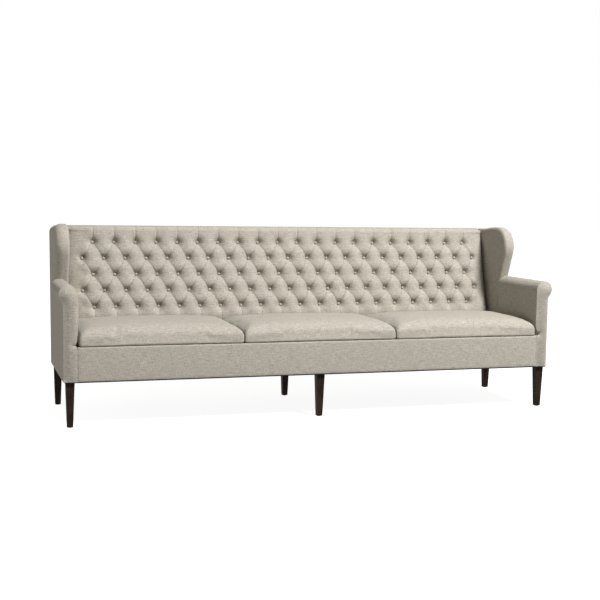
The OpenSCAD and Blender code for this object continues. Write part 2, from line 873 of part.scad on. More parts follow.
front_rail();
rear_rail();
side_rail(-1);  // left_side_rail
side_rail(1);  // right_side_rail
cross_rails();
corner_blocks();
block_screws();
frame_dowels();
front_post(-1);  // left_front_post
front_post(1);  // right_front_post
rear_post(-1);  // left_rear_post
rear_post(1);  // right_rear_post
arm_rail(-1);  // left_arm_rail
arm_rail(1);  // right_arm_rail
scroll_rail(-1);  // left_scroll_rail
scroll_rail(1);  // right_scroll_rail
arm_strut(-1);  // left_arm_strut
arm_strut(1);  // right_arm_strut
wing_board(-1);  // left_wing_board
wing_board(1);  // right_wing_board
back_top_rail();
back_lower_rail();
back_uprights();
back_webbing();
back_hessian();
seat_springs();
spring_clips();
deck_hessian();
deck_pad();
front_rail_cover();
arm_cover(-1);  // left_arm_cover
arm_cover(1);  // right_arm_cover
wing_cover(-1);  // left_wing_cover
wing_cover(1);  // right_wing_cover
outside_back();
tufted_back();
back_buttons();
cushion_cover(-1);  // left_cushion_cover
cushion_cover(0);  // middle_cushion_cover
cushion_cover(1);  // right_cushion_cover
cushion_core(-1);  // left_cushion_core
cushion_core(0);  // middle_cushion_core
cushion_core(1);  // right_cushion_core
leg(leg_places[0]);  // front_left_leg
leg(leg_places[1]);  // front_middle_leg
leg(leg_places[2]);  // front_right_leg
leg(leg_places[3]);  // rear_left_leg
leg(leg_places[4]);  // rear_middle_leg
leg(leg_places[5]);  // rear_right_leg
leg_bolts();
leg_inserts();
leg_glides();
dust_cover();
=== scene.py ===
from math import acos, atan2, ceil, cos, degrees, floor, hypot, pi, radians, sin, tan

import bmesh
import bpy
import numpy as np
from mathutils import Matrix, Vector
from mathutils.geometry import delaunay_2d_cdt


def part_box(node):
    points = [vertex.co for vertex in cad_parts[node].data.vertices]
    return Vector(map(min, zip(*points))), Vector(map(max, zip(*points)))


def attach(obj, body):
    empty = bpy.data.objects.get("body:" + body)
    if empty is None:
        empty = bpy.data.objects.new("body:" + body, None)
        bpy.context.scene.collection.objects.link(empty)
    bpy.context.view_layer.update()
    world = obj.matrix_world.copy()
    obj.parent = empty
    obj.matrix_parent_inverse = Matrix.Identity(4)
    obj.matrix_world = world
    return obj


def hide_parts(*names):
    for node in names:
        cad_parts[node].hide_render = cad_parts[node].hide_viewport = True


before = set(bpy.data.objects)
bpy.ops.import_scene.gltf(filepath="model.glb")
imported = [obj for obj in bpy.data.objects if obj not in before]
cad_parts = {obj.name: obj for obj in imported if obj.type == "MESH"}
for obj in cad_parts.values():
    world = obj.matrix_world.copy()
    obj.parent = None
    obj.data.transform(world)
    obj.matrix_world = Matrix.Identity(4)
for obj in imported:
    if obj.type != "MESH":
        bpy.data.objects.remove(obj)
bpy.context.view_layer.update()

mm = 0.001
seamReach = 20*mm


class Strand:
    # one output of a node, so that shader maths reads as a sum
    def __init__(self, recipe, socket):
        self.recipe, self.socket = recipe, socket

    def math(self, operation, *values):
        return self.recipe.add("ShaderNodeMath", {"operation": operation}, dict(enumerate(values)))

    def __add__(self, other):
        return self.math("ADD", self, other)

    __radd__ = __add__

    def __sub__(self, other):
        return self.math("SUBTRACT", self, other)

    def __rsub__(self, other):
        return self.math("SUBTRACT", other, self)

    def __mul__(self, other):
        return self.math("MULTIPLY", self, other)

    __rmul__ = __mul__

    def size(self):
        return self.math("ABSOLUTE", self)

    def sine(self):
        return self.math("SINE", self)


class Recipe:
    # one material, or the sky, and the nodes in it
    def __init__(self, name, among=bpy.data.materials):
        self.made = among.new(name)
        self.made.use_nodes = True
        self.tree = self.made.node_tree
        self.tree.nodes.clear()

    def add(self, kind, settings=None, inputs=None, output=0):
        node = self.tree.nodes.new(kind)
        for name, value in (settings or {}).items():
            if name == "stops":
                ramp = node.color_ramp
                while len(ramp.elements) < len(value):
                    ramp.elements.new(1)
                for element, (place, colour) in zip(ramp.elements, value):
                    element.position, element.color = place, (*colour, 1)
            else:
                setattr(node, name, value)
        for name, value in (inputs or {}).items():
            socket = node.inputs[name]
            if isinstance(value, Strand):
                self.tree.links.new(value.socket, socket)
            else:
                socket.default_value = value
        return Strand(self, node.outputs[output]) if node.outputs else None

    def place(self):
        return self.add("ShaderNodeTexCoord", output="Object")

    def mark(self, name):       # a value that a piece carries at its points
        return self.add("ShaderNodeAttribute", {"attribute_name": name}, output=2)

    def stretch(self, vector, scale):
        return self.add("ShaderNodeMapping", {}, {"Vector": vector, "Scale": scale})

    def noise(self, vector, scale, detail=2.0, roughness=0.5):
        return self.add("ShaderNodeTexNoise", {}, {
            "Vector": vector, "Scale": scale, "Detail": detail, "Roughness": roughness})

    def parts(self, vector):
        outputs = self.add("ShaderNodeSeparateXYZ", {}, {0: vector}).socket.node.outputs
        return [Strand(self, output) for output in outputs]

    def ramp(self, value, stops):
        return self.add("ShaderNodeValToRGB", {"stops": stops}, {"Fac": value})

    def tones(self, value, low, dark, high, light):     # from the dark colour to the light one
        return self.ramp(value, [(low, paint(*dark)[:3]), (high, paint(*light)[:3])])

    def range(self, value, low, high, toLow, toHigh):
        return self.add("ShaderNodeMapRange", {}, {
            "Value": value, "From Min": low, "From Max": high, "To Min": toLow, "To Max": toHigh})

    def mix(self, share, first, second, blend="MIX"):
        return self.add("ShaderNodeMix", {"data_type": "RGBA", "blend_type": blend}, {
            0: share, 6: first, 7: second}, output=2)

    def shaded(self, colour, share):    # the colour, darkened to a share of itself
        return self.mix(1.0, colour, self.mix(share, (0, 0, 0, 1), (1, 1, 1, 1)), "MULTIPLY")

    def bump(self, height, distance, strength=1.0, normal=None):
        inputs = {"Height": height, "Distance": distance, "Strength": strength}
        if normal is not None:
            inputs["Normal"] = normal
        return self.add("ShaderNodeBump", {}, inputs)

    def finish(self, **sockets):
        shader = self.add("ShaderNodeBsdfPrincipled", {}, {
            name.replace("_", " "): value for name, value in sockets.items()})
        self.add("ShaderNodeOutputMaterial", {}, {"Surface": shader})
        return self.made


def paint(red, green, blue):    # a colour as seen on a screen, 0 to 255, as the shader's linear one
    def linear(c):
        c /= 255
        return c/12.92 if c <= 0.04045 else ((c + 0.055)/1.055)**2.4
    return (linear(red), linear(green), linear(blue), 1.0)


def dimmed(colour, share):
    return paint(*(share*c for c in colour))


linenLook = {
    "light": (187, 181, 171), "dark": (131, 126, 116), "shade": (157, 151, 141),
    "warpPitch": 1.0*mm, "weftPitch": 1.15*mm, "threadDepth": 0.22*mm,
    "slubLength": 38*mm, "slubWidth": 5*mm, "slubDepth": 0.5*mm,
    "wrinkleSize": 70*mm, "wrinkleDepth": 2.0*mm,
    "seamWidth": 2.6*mm, "seamDepth": 1.1*mm, "roughness": 0.9, "sheen": 0.1,
    # painted shade: how dark the arm facings are painted
    "facingShadeTone": 0.82,
}


def linenMaterial(name, look):
    cloth = Recipe(name)
    threads = cloth.add("ShaderNodeUVMap", {"uv_map": "threads"})
    spot = cloth.place()
    across, along = cloth.parts(threads)[:2]
    drift = cloth.noise(spot, 40.0, 1.0)
    warp = (across*(pi/look["warpPitch"]) + drift*3.0).sine()
    weft = (along*(pi/look["weftPitch"]) + drift*2.5).sine()
    weave = warp*weft*0.5 + 0.5
    long, wide = 1/look["slubLength"], 1/look["slubWidth"]
    weftSlub = cloth.noise(cloth.stretch(threads, (long, wide, 1)), 1.0, 3.0, 0.7)
    warpSlub = cloth.noise(cloth.stretch(threads, (wide*1.3, long*1.5, 1)), 1.0, 3.0, 0.7)
    fineWeft = cloth.noise(cloth.stretch(threads, (long*2, wide*4, 1)), 1.0, 2.0, 0.6)
    fineWarp = cloth.noise(cloth.stretch(threads, (wide*4, long*2, 1)), 1.0, 2.0, 0.6)
    blotch = cloth.noise(spot, 7.0, 3.0, 0.6)
    fleck = cloth.noise(spot, 260.0, 2.0, 0.6)
    slub = weftSlub*0.30 + warpSlub*0.22 + fineWeft*0.16 + fineWarp*0.12 + fleck*0.20
    tint = cloth.range(slub, 0.40, 0.60, 0.0, 1.0)
    base = cloth.tones(tint, 0.0, look["dark"], 1.0, look["light"])
    colour = cloth.mix(cloth.range(blotch, 0.4, 0.7, 0.0, 0.35), base, paint(*look["shade"]))
    # a seam lies where the piece's own seam value is 2, and each 1 away from that is the seam's reach
    away = (cloth.mark("seam") - 2.0).size()
    sunk = cloth.range(away, 0.0, look["seamWidth"]/seamReach, 0.0, 1.0)
    # painted shade: the weave's hollows and the seams are darkened, and the cloth of the arm facings, which
    # their pieces mark, is painted darker as shade
    hollow = cloth.range(weave, 0.0, 0.3, 0.86, 1.0)*cloth.range(away, 0.0, 0.06, 0.72, 1.0)
    paintedShade = hollow*cloth.range(cloth.mark("turned"), 0.0, 1.0, 1.0, look["facingShadeTone"])
    toned = cloth.shaded(colour, paintedShade)
    rough = cloth.range(slub, 0.35, 0.65, look["roughness"] + 0.06, look["roughness"] - 0.06)
    wrinkle = cloth.noise(spot, 1/look["wrinkleSize"], 2.0, 0.45)
    soft = cloth.bump(wrinkle*look["wrinkleDepth"] + sunk*look["seamDepth"], 1.0, 1.0)
    ridge = cloth.bump(slub, look["slubDepth"], 1.0, soft)
    normal = cloth.bump(weave, look["threadDepth"], 0.8, ridge)
    return cloth.finish(Base_Color=toned, Roughness=rough, Normal=normal, Sheen_Weight=look["sheen"],
                        Sheen_Roughness=0.5, Specular_IOR_Level=0.25)


legLook = {
    "dark": (13, 10, 8), "light": (44, 35, 30), "worn": (60, 46, 38), "grain": 9*mm, "roughness": 0.34,
}


def legMaterial(look):
    wood = Recipe("ebonisedWood")
    spot = wood.place()
    grain = wood.noise(wood.stretch(spot, (1/look["grain"], 1/look["grain"], 6.0)), 1.0, 4.0, 0.65)
    pores = wood.noise(wood.stretch(spot, (900.0, 900.0, 40.0)), 1.0, 2.0, 0.5)
    cloud = wood.noise(spot, 18.0, 3.0, 0.55)
    edge = wood.add("ShaderNodeNewGeometry", output="Pointiness")
    base = wood.tones(grain*0.7 + cloud*0.3, 0.32, look["dark"], 0.68, look["light"])
    wear = wood.range(edge, 0.52, 0.62, 0.0, 0.5)*wood.range(cloud, 0.4, 0.7, 0.3, 1.0)
    colour = wood.mix(wear, base, paint(*look["worn"]))
    rough = wood.range(grain, 0.3, 0.7, look["roughness"] - 0.07, look["roughness"] + 0.1)
    normal = wood.bump(pores*0.5 + grain*0.5, 0.25*mm, 0.7)
    return wood.finish(Base_Color=colour, Roughness=rough, Normal=normal, Specular_IOR_Level=0.12,
                       Coat_Weight=0.02, Coat_Roughness=0.3)


timberLook = {
    "pale": (206, 168, 124), "deep": (164, 120, 78), "ring": 7*mm, "ringsLong": 3.0,
    "fleckWide": 1100.0, "fleckLong": 120.0, "roughness": 0.62,
}


def timberMaterial(name, look, way):
    # planed beech: rings drawn out along the board, and short dark flecks
    wood = Recipe(name)
    spot = wood.place()

    def drawn(along, across):
        return wood.stretch(spot, [along if axis == way else across for axis in "XYZ"])

    grain = wood.noise(drawn(look["ringsLong"], 1/look["ring"]), 1.0, 4.0, 0.6)
    fleck = wood.noise(drawn(look["fleckLong"], look["fleckWide"]), 1.0, 1.0, 0.5)
    cloud = wood.noise(spot, 3.0, 2.0)
    bands = (grain*42.0 + cloud*5.0).sine()*0.5 + 0.5
    base = wood.tones(bands*0.55 + grain*0.45, 0.2, look["deep"], 0.75, look["pale"])
    colour = wood.mix(wood.range(fleck, 0.62, 0.72, 0.0, 0.55), base, dimmed(look["deep"], 0.7))
    rough = wood.range(bands, 0.0, 1.0, look["roughness"] + 0.06, look["roughness"] - 0.05)
    normal = wood.bump(grain*0.6 + fleck*0.4, 0.3*mm, 0.7)
    return wood.finish(Base_Color=colour, Roughness=rough, Normal=normal, Specular_IOR_Level=0.35)


def steelMaterial(name, colour, roughness, tarnish):
    metal = Recipe(name)
    spot = metal.place()
    drawn = metal.noise(spot, 900.0, 2.0, 0.6)
    cloud = metal.noise(spot, 55.0, 3.0, 0.6)
    tint = metal.mix(metal.range(cloud, 0.45, 0.7, 0.0, tarnish), paint(*colour), dimmed(colour, 0.55))
    rough = metal.range(cloud, 0.3, 0.7, roughness - 0.07, roughness + 0.12)
    return metal.finish(Base_Color=tint, Roughness=rough, Metallic=metal.range(cloud, 0.4, 0.75, 1.0, 0.8),
                        Normal=metal.bump(drawn, 0.05*mm, 0.5))


sackingLook = {
    "light": (176, 142, 98), "dark": (96, 70, 42), "pitch": 2.4*mm, "depth": 0.5*mm, "slub": (160.0, 30.0),
}


def sackingMaterial(name, look, upright, tight=1.0):
    # an open plain weave of jute, or of webbing when it is tight
    cloth = Recipe(name)
    spot = cloth.place()
    axes = cloth.parts(spot)
    across, along = axes[0], axes[2 if upright else 1]
    drift = cloth.noise(spot, 25.0, 2.0)
    turn = pi/look["pitch"]
    warp, weft = (across*turn + drift*4.0).sine(), (along*turn + drift*4.0).sine()
    weave = warp*weft
    fine, long = look["slub"]
    drawn = cloth.stretch(spot, (fine, fine, long) if upright else (fine, long, fine))
    slub = cloth.noise(drawn, 1.0, 3.0, 0.6)
    # painted shade: the gaps between the threads are darkened
    hole = cloth.range(warp.size() + weft.size(), 0.15, 0.6/tight, 0.25, 1.0)
    colour = cloth.shaded(cloth.tones(slub, 0.35, look["dark"], 0.65, look["light"]), hole)
    rough = cloth.range(slub, 0.3, 0.7, 0.95, 0.8)
    return cloth.finish(Base_Color=colour, Roughness=rough, Specular_IOR_Level=0.15,
                        Normal=cloth.bump(weave*0.5 + slub*0.5, look["depth"], 0.9))


def fibreMaterial(name, light, dark, size, depth):
    # felt, foam, thin lining and moulded plastic: a fine even grain of the given size
    base = Recipe(name)
    spot = base.place()
    grain = base.noise(spot, 1/size, 3.0, 0.65)
    pore = base.add("ShaderNodeTexVoronoi", {}, {"Vector": spot, "Scale": 0.6/size})
    cloud = base.noise(spot, 9.0, 3.0, 0.6)
    tint = base.tones(grain*0.6 + cloud*0.4, 0.35, dark, 0.65, light)
    rough = base.range(grain, 0.3, 0.7, 0.94, 0.78)
    return base.finish(Base_Color=tint, Roughness=rough, Specular_IOR_Level=0.2,
                       Normal=base.bump(grain*0.6 + pore*0.4, depth, 0.8))


print("materials: linen, leg wood, beech, steel, jute, felt, foam and lining")
fabric = linenMaterial("linen", linenLook)
legWood = legMaterial(legLook)
timber = {way: timberMaterial(f"beechAlong{way}", timberLook, way) for way in "XYZ"}
brightSteel = steelMaterial("brightSteel", (196, 197, 199), 0.32, 0.4)
zincSteel = steelMaterial("zincSteel", (172, 170, 150), 0.38, 0.5)
springSteel = steelMaterial("springSteel", (74, 74, 78), 0.42, 0.6)
backSacking = sackingMaterial("backSacking", sackingLook, True)
deckSacking = sackingMaterial("deckSacking", sackingLook, False)
backWebbing = sackingMaterial("backWebbing", {**sackingLook, "pitch": 1.5*mm}, True, 2.0)
platformCloth = fibreMaterial("platformCloth", (150, 141, 126), (118, 110, 97), 1.1*mm, 0.35*mm)
seatFoam = fibreMaterial("seatFoam", (226, 210, 150), (198, 178, 112), 1.6*mm, 0.5*mm)
liningCloth = fibreMaterial("liningCloth", (26, 26, 27), (10, 10, 11), 0.9*mm, 0.15*mm)
glidePlastic = fibreMaterial("glidePlastic", (40, 40, 41), (24, 24, 25), 0.8*mm, 0.06*mm)


def inScene(name, data):
    # a new object in the scene
    item = bpy.data.objects.new(name, data)
    bpy.context.scene.collection.objects.link(item)
    return item


def valuesOf(items, name, width=1, kind=float):
    values = np.empty(width*len(items), kind)
    items.foreach_get(name, values)
    return values.reshape(-1, width) if width > 1 else values


def layThreads(mesh, favour=(1.0, 1.0, 1.0)):
    # the weave's map: each face takes the two directions that it lies along, in metres
    normals = np.abs(valuesOf(mesh.polygons, "normal", 3))
    way = (normals*favour).argmax(1).repeat(valuesOf(mesh.polygons, "loop_total", kind=int))
    spot = valuesOf(mesh.vertices, "co", 3)[valuesOf(mesh.loops, "vertex_index", kind=int)]
    u = np.where(way == 0, spot[:, 1], spot[:, 0])
    v = np.where(way == 2, spot[:, 1], spot[:, 2])
    layer = mesh.uv_layers.get("threads") or mesh.uv_layers.new(name="threads")
    layer.data.foreach_set("uv", np.stack([u, v], 1).ravel())


def pointsOf(piece):
    return valuesOf(piece.data.vertices, "co", 3)/mm


def mark(piece, name, values):
    # a value at each point of the piece, which its material reads
    layer = piece.data.attributes.new(name, "FLOAT", "POINT")
    layer.data.foreach_set("value", values)


def seamLine(piece, distance):
    # the piece's seam value at each point, from its signed distance to the seam in millimetres
    mark(piece, "seam", 2 + np.clip(distance*mm/seamReach, -1, 1))


def newPiece(name, points, faces, material, favour=(1, 1, 1)):
    # a piece from its points in millimetres, with the weave's map
    mesh = bpy.data.meshes.new(name)
    mesh.from_pydata((np.asarray(points, float)*mm).tolist(), [], faces)
    piece = inScene(name, mesh)
    layThreads(mesh, favour)
    mesh.materials.append(material)
    return piece


def upholster(name, net, node, body="sofa_body", material=None,
              favour=(1, 1, 1), smooth=180):
    # one padded piece from its net of points and faces, in place of its node
    piece = newPiece(name, *net, material or fabric, favour)
    smoothAll(piece)
    if smooth < 180:
        pickOnly(piece)
        bpy.ops.object.shade_smooth_by_angle(angle=radians(smooth))
    dress(piece, body, [node])
    return piece


def smoothAll(piece):
    piece.data.polygons.foreach_set("use_smooth", np.ones(len(piece.data.polygons), bool))


def dress(piece, body, nodes):
    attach(piece, body)
    if nodes:
        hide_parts(*nodes)


def turnTo(mode):
    bpy.ops.object.mode_set(mode=mode)


def settled():
    # the primitive just added, with its place and scale taken into its mesh
    bpy.ops.object.transform_apply(location=True, rotation=True, scale=True)
    return bpy.context.object


def pickOnly(*pieces):
    bpy.ops.object.select_all(action="DESELECT")
    for piece in pieces:
        piece.select_set(True)
    bpy.context.view_layer.objects.active = pieces[0]


def netFaces(rows, cols, wrap=False, start=0):
    # the four-sided faces of a net of points, row after row
    reach = cols if wrap else cols - 1
    return [
        (start + r*cols + c, start + r*cols + (c + 1) % cols,
         start + (r + 1)*cols + (c + 1) % cols, start + (r + 1)*cols + c)
        for r in range(rows - 1) for c in range(reach)]


def closedNet(rings):
    # rings of points, joined in a row and closed at both ends
    count, cols = rings.shape[:2]
    ends = [tuple(range(cols))[::-1], tuple(range((count - 1)*cols, count*cols))]
    return rings.reshape(-1, 3), netFaces(count, cols, wrap=True) + ends


def rimOf(rows, cols):
    # the points round the edge of a net
    rim = list(range(cols)) + [r*cols + cols - 1 for r in range(1, rows)]
    rim += [(rows - 1)*cols + c for c in range(cols - 2, -1, -1)]
    return rim + [r*cols for r in range(rows - 2, 0, -1)]


def slab(x, y, top, bottom):
    # a sheet with a thickness: two nets of points, joined along their rims
    rows, cols = x.shape
    shift, rim = rows*cols, rimOf(rows, cols)
    faces = netFaces(rows, cols) + [face[::-1] for face in netFaces(rows, cols, start=shift)]
    faces += [(b, a, shift + a, shift + b) for a, b in zip(rim, rim[1:] + rim[:1])]
    return np.concatenate([np.stack([x, y, z], 2).reshape(-1, 3) for z in (top, bottom)]), faces


def crowded(half, count, power):
    # places from end to end that lie closer together towards the ends
    share = np.linspace(-1, 1, count)
    return np.sign(share)*(1 - (1 - np.abs(share))**power)*half


def scattered(name, model, places, material, nodes):
    # the model once at each place, all in one piece
    copies = []
    for place in places:
        copies.append(inScene(name, model.data.copy()))
        copies[-1].data.transform(place)
    bpy.data.objects.remove(model)
    pickOnly(*copies)
    bpy.ops.object.join()
    piece = bpy.context.object
    piece.name = piece.data.name = name
    piece.data.materials.clear()
    piece.data.materials.append(material)
    dress(piece, "sofa_body", nodes)
    return piece


def ease(t):
    t = np.clip(t, 0, 1)
    return t*t*(3 - 2*t)


def groove(far, wide):
    return np.exp(-(far/wide)**2)


def roundOff(edge, r):
    # how far a round edge lies back, as a share of its radius, this far in from the edge
    return 1 - np.sqrt(1 - np.clip(1 - edge/r, 0, 1)**2)


def waver(x, y, seed, length):
    # a gentle unevenness of hand work, from -1 to 1, always the same for a seed
    rng = np.random.default_rng(seed)
    total = 0
    for k in range(6):
        angle, phase = rng.uniform(0, 2*pi, 2)
        wave = length*rng.uniform(0.6, 1.7)
        total = total + np.sin((x*cos(angle) + y*sin(angle))*2*pi/wave + phase)
    return total/6


sofa = {
    "frontY": -398.0, "outerX": 1375.0, "innerX": 1298.0, "baseZ": 237.0, "deckZ": 414.0,
    "rearY": 398.0, "rearTopZ": 1004.0, "rearRake": 5.7, "backPad": 6.0,
}


def rearY(z):       # the outside back's plane
    return sofa["rearY"] - (sofa["rearTopZ"] - z)*tan(radians(sofa["rearRake"]))


tuft = {
    "pitch": 120.7, "rowGap": 90.0, "rows": range(-2, 3), "count": 10, "midZ": 738.0, "midY": 258.0,
    "rake": 13.8, "depth": 48.0, "dimple": (20.5, 1.35), "dome": (46.0, 1.6), "dimpleShare": 0.87,
    "foldDepth": 0.125, "foldWidth": 11.0, "pleatFade": 0.45,
    "pucker": 1.5, "puckers": 7, "puckerRun": (14.0, 15.0),
    "stripShare": 0.72, "stripRun": 0.5, "cells": 16, "wave": 190,
    "groove": 5.3, "pleatGroove": 3.8, "wingRoll": 118.0, "wingTuck": 66.0,
    "rollR": 34.0, "rollZ": 978.0, "topZ": 1012.0, "bottomZ": 414.6, "bottomY": 182.0, "padX": 1297.7,
    "frameGap": 37.5, "railZ": 985.3, "unevenness": 0.05,
    "pleatMean": 0.3, "pleatLoss": 0.055, "pleatRise": 0.22, "edgeDrop": 8,
}


def faceY(z):       # the plane that the buttons lie on
    return tuft["midY"] + (z - tuft["midZ"])*tan(radians(tuft["rake"]))


def fromButton(u, v):
    # distance and direction from the nearest button
    pitch, gap, count = tuft["pitch"], tuft["rowGap"], tuft["count"]
    best, turn = np.full(np.shape(u), 1e9), np.zeros(np.shape(u))
    for row in tuft["rows"]:
        half = 0.5 if row % 2 == 0 else 0.0
        end = count - half
        near = np.clip(np.round(u - half) + half, -end, end)
        dx, dz = (u - near)*pitch, (v*2 - row)*gap
        far = np.hypot(dx, dz)
        turn = np.where(far < best, np.arctan2(dz, dx), turn)
        best = np.minimum(best, far)
    return best, turn


def tuftShare(u, v, out, fade):
    # height of the cloth over the buttons' plane, as a share of the tufts' depth; past the last fold,
    # where out counts the pitches on from it, the cloth runs on smooth
    far, turn = fromButton(u, v)
    dimple, dome = (1 - np.exp(-(far/size)**power) for size, power in (tuft["dimple"], tuft["dome"]))
    bowl = tuft["dimpleShare"]*dimple + (1 - tuft["dimpleShare"])*dome
    reach = 1/hypot(1/tuft["pitch"], 0.5/tuft["rowGap"])
    across = np.minimum(*[np.abs(w - 0.5 - np.round(w - 0.5))*reach for w in (u - v, u + v)])
    pleatAcross = np.abs(u - 0.5 - np.round(u - 0.5))*tuft["pitch"]
    across = np.where(out > 0, out*reach, across)
    pleatAcross = np.where(out > 0, out*tuft["pitch"], pleatAcross)
    outer = np.abs(v) > 1
    fold = np.exp(-np.where(outer, pleatAcross, across)/tuft["foldWidth"])
    fold = fold*np.where(outer, 1 - tuft["pleatFade"]*fade, 1)
    start, end = tuft["puckerRun"]
    pucker = np.sin(tuft["puckers"]*turn + np.sin(u*9.7)*2 + v*5)*np.exp(-far/end)*np.clip(far/start, 0, 1)
    return bowl*(1 - tuft["foldDepth"]*fold) + pucker*tuft["pucker"]/tuft["depth"]


def creaseShare(u, v):
    # 1 along the bottom of a fold or pleat, and none a thread's width beside it
    foldDown, foldUp = np.abs(np.cos(np.pi*(u - v))), np.abs(np.cos(np.pi*(u + v)))
    nearest = np.where(np.abs(v) > 1, np.abs(np.cos(np.pi*u)), np.minimum(foldDown, foldUp))
    return np.clip(1 - nearest/sin(pi/tuft["cells"]/2.0), 0, 1)


def makeTuftedBack():
    cells, pitch, gap = tuft["cells"], tuft["pitch"], tuft["rowGap"]
    endU = tuft["padX"]/pitch
    step = 1/(2*cells)
    us = np.arange(-floor(endU/step), floor(endU/step) + 1)*step
    us[0], us[-1] = -endU, endU
    firstZ, lastZ = tuft["midZ"] - 2*gap, tuft["midZ"] + 2*gap
    below = ceil((firstZ - tuft["bottomZ"])/(2*gap*step))
    above = ceil((tuft["rollZ"] - lastZ)/(2*gap*step))
    zs = np.concatenate([
        np.linspace(tuft["bottomZ"], firstZ, below, endpoint=False),
        np.linspace(firstZ, lastZ, 4*cells + 1),
        np.linspace(lastZ, tuft["rollZ"], above + 1)[1:]])
    u, z = np.meshgrid(us, zs)
    v = (z - tuft["midZ"])/(2*gap)
    fade = np.clip((z - lastZ)/(tuft["rollZ"] - lastZ), 0, 1)
    level = np.clip(np.abs(v), 0, 1)
    out = np.abs(u) - (tuft["count"] - 0.5 + np.abs(level - np.round(level)))
    share = tuftShare(u, v, out, fade)*(1 + (tuft["stripShare"] - 1)*ease(out/tuft["stripRun"]))
    height = tuft["depth"]*share*(1 + tuft["unevenness"]*waver(u*pitch, z, 5, tuft["wave"]))
    # the folds' creases run out at the buttons, and the pad rolls in to the wings
    crease = np.where(out <= 0.01, creaseShare(u, v), 0)*np.clip(share/0.2, 0, 1)
    height -= crease*np.where(np.abs(v) > 1, tuft["pleatGroove"], tuft["groove"])
    height -= tuft["wingTuck"]*roundOff(tuft["padX"] - np.abs(u)*pitch, tuft["wingRoll"])
    tucked = ease((firstZ - z)/(firstZ - tuft["bottomZ"]))
    y = (faceY(z) - height)*(1 - tucked) + tuft["bottomY"]*tucked
    rows = [np.stack([u*pitch, y, z], 2)]

    def addRow(y, z):
        rows.append(np.stack(np.broadcast_arrays(us*pitch, y, z), 1)[None])

    # round the top edge and back over the rail, then down behind the padding
    pleat = height[-1] - tuft["depth"]*(1 - tuft["foldDepth"]*(1 - tuft["pleatFade"])*tuft["pleatMean"])
    for k in range(1, 11):
        a, lost = radians(9*k), tuft["pleatLoss"]*k
        addRow(y[-1] + pleat*lost + tuft["rollR"]*(1 - cos(a)),
               tuft["rollZ"] + tuft["rollR"]*sin(a) - lost*2 + pleat*tuft["pleatRise"]*sin(a))
    lastY, lastZ = rows[-1][0, :, 1], rows[-1][0, :, 2]
    rearTop = rearY(tuft["topZ"]) - sofa["backPad"]
    for k in range(1, 9):
        top = tuft["topZ"] - tuft["edgeDrop"]*(k == 8)
        addRow(lastY + (rearTop - lastY)*k/8, lastZ + (top - lastZ)*ease(k/8))
    for z, gap in ((tuft["railZ"], sofa["backPad"]), (tuft["railZ"], tuft["frameGap"]),
                   (tuft["bottomZ"], tuft["frameGap"])):
        addRow(rearY(z) - gap, z)
    points = np.concatenate(rows, 0)
    count, cols = points.shape[:2]
    last = (count - 1)*cols
    faces = netFaces(count, cols) + [(c + 1, c, last + c, last + c + 1) for c in range(cols - 1)]
    faces += [range(last, -1, -cols), range(cols - 1, last + cols, cols)]
    upholster("tuftedBack", (points.reshape(-1, 3), faces), "tufted_back", favour=(0.3, 1, 0.75))


makeTuftedBack()
print("back: tufted pad")


button = {
    "radius": 9.8, "waist": 0.93, "lift": 9.4, "rim": 1.2, "dome": 5.2, "sides": 16,
    "steps": ((0.42, 0.10), (0.34, 0.26), (0.18, 0.28), (0.06, 0.2)),   # each one's rise and way in
    "bevel": 0.8, "tip": 0.02, "flat": 0.01, "turn": (7, 3),
}


def makeButtons():
    radius, rim = button["radius"]*mm, button["rim"]*mm
    bpy.ops.object.select_all(action="DESELECT")
    bpy.ops.mesh.primitive_cylinder_add(vertices=button["sides"], radius=radius*button["waist"],
                                        depth=2*rim, location=(0, 0, button["lift"]*mm + rim))
    model = settled()
    turnTo("EDIT")
    bpy.ops.mesh.select_mode(type="FACE")
    for rise, thickness in button["steps"]:
        pickTop(model)
        bpy.ops.mesh.inset(thickness=radius*thickness)
        bpy.ops.transform.translate(value=(0, 0, button["dome"]*mm*rise))
    pickTop(model)
    bpy.ops.mesh.poke(offset=button["tip"]*mm)
    turnTo("OBJECT")
    turnTo("EDIT")
    bpy.ops.mesh.select_all(action="DESELECT")
    bpy.ops.mesh.select_mode(type="VERT")
    turnTo("OBJECT")
    low = min(p.co.z for p in model.data.vertices)
    for edge in model.data.edges:
        ends = [model.data.vertices[i].co for i in edge.vertices]
        edge.select = all(end.z < low + button["flat"]*mm for end in ends)
    turnTo("EDIT")
    bpy.ops.mesh.select_mode(type="EDGE")
    bpy.ops.mesh.bevel(offset=button["bevel"]*mm, segments=2)
    turnTo("OBJECT")
    bpy.ops.object.shade_smooth()
    tilt = Matrix.Rotation(radians(90 - tuft["rake"]), 4, "X")
    places, count, (perColumn, perRow) = [], tuft["count"], button["turn"]
    for row in tuft["rows"]:
        z = tuft["midZ"] + row*tuft["rowGap"]
        us = [k + 0.5 for k in range(-count, count)] if row % 2 == 0 else range(-count, count + 1)
        for u in us:
            turn = Matrix.Rotation((u*perColumn + row*perRow) % 6.28, 4, "Z")
            places.append(Matrix.Translation((u*tuft["pitch"]*mm, faceY(z)*mm, z*mm)) @ tilt @ turn)
    buttons = scattered("coveredButtons", model, places, fabric, ["back_buttons"])
    layThreads(buttons.data)


def pickTop(piece):
    # in edit mode: the one face on top
    turnTo("OBJECT")
    for part in (piece.data.vertices, piece.data.edges, piece.data.polygons):
        part.foreach_set("select", [False]*len(part))
    top = max(piece.data.polygons, key=lambda face: (round(face.center.z, 6), len(face.vertices)))
    top.select = True
    turnTo("EDIT")


makeButtons()
print("back: 102 covered buttons")


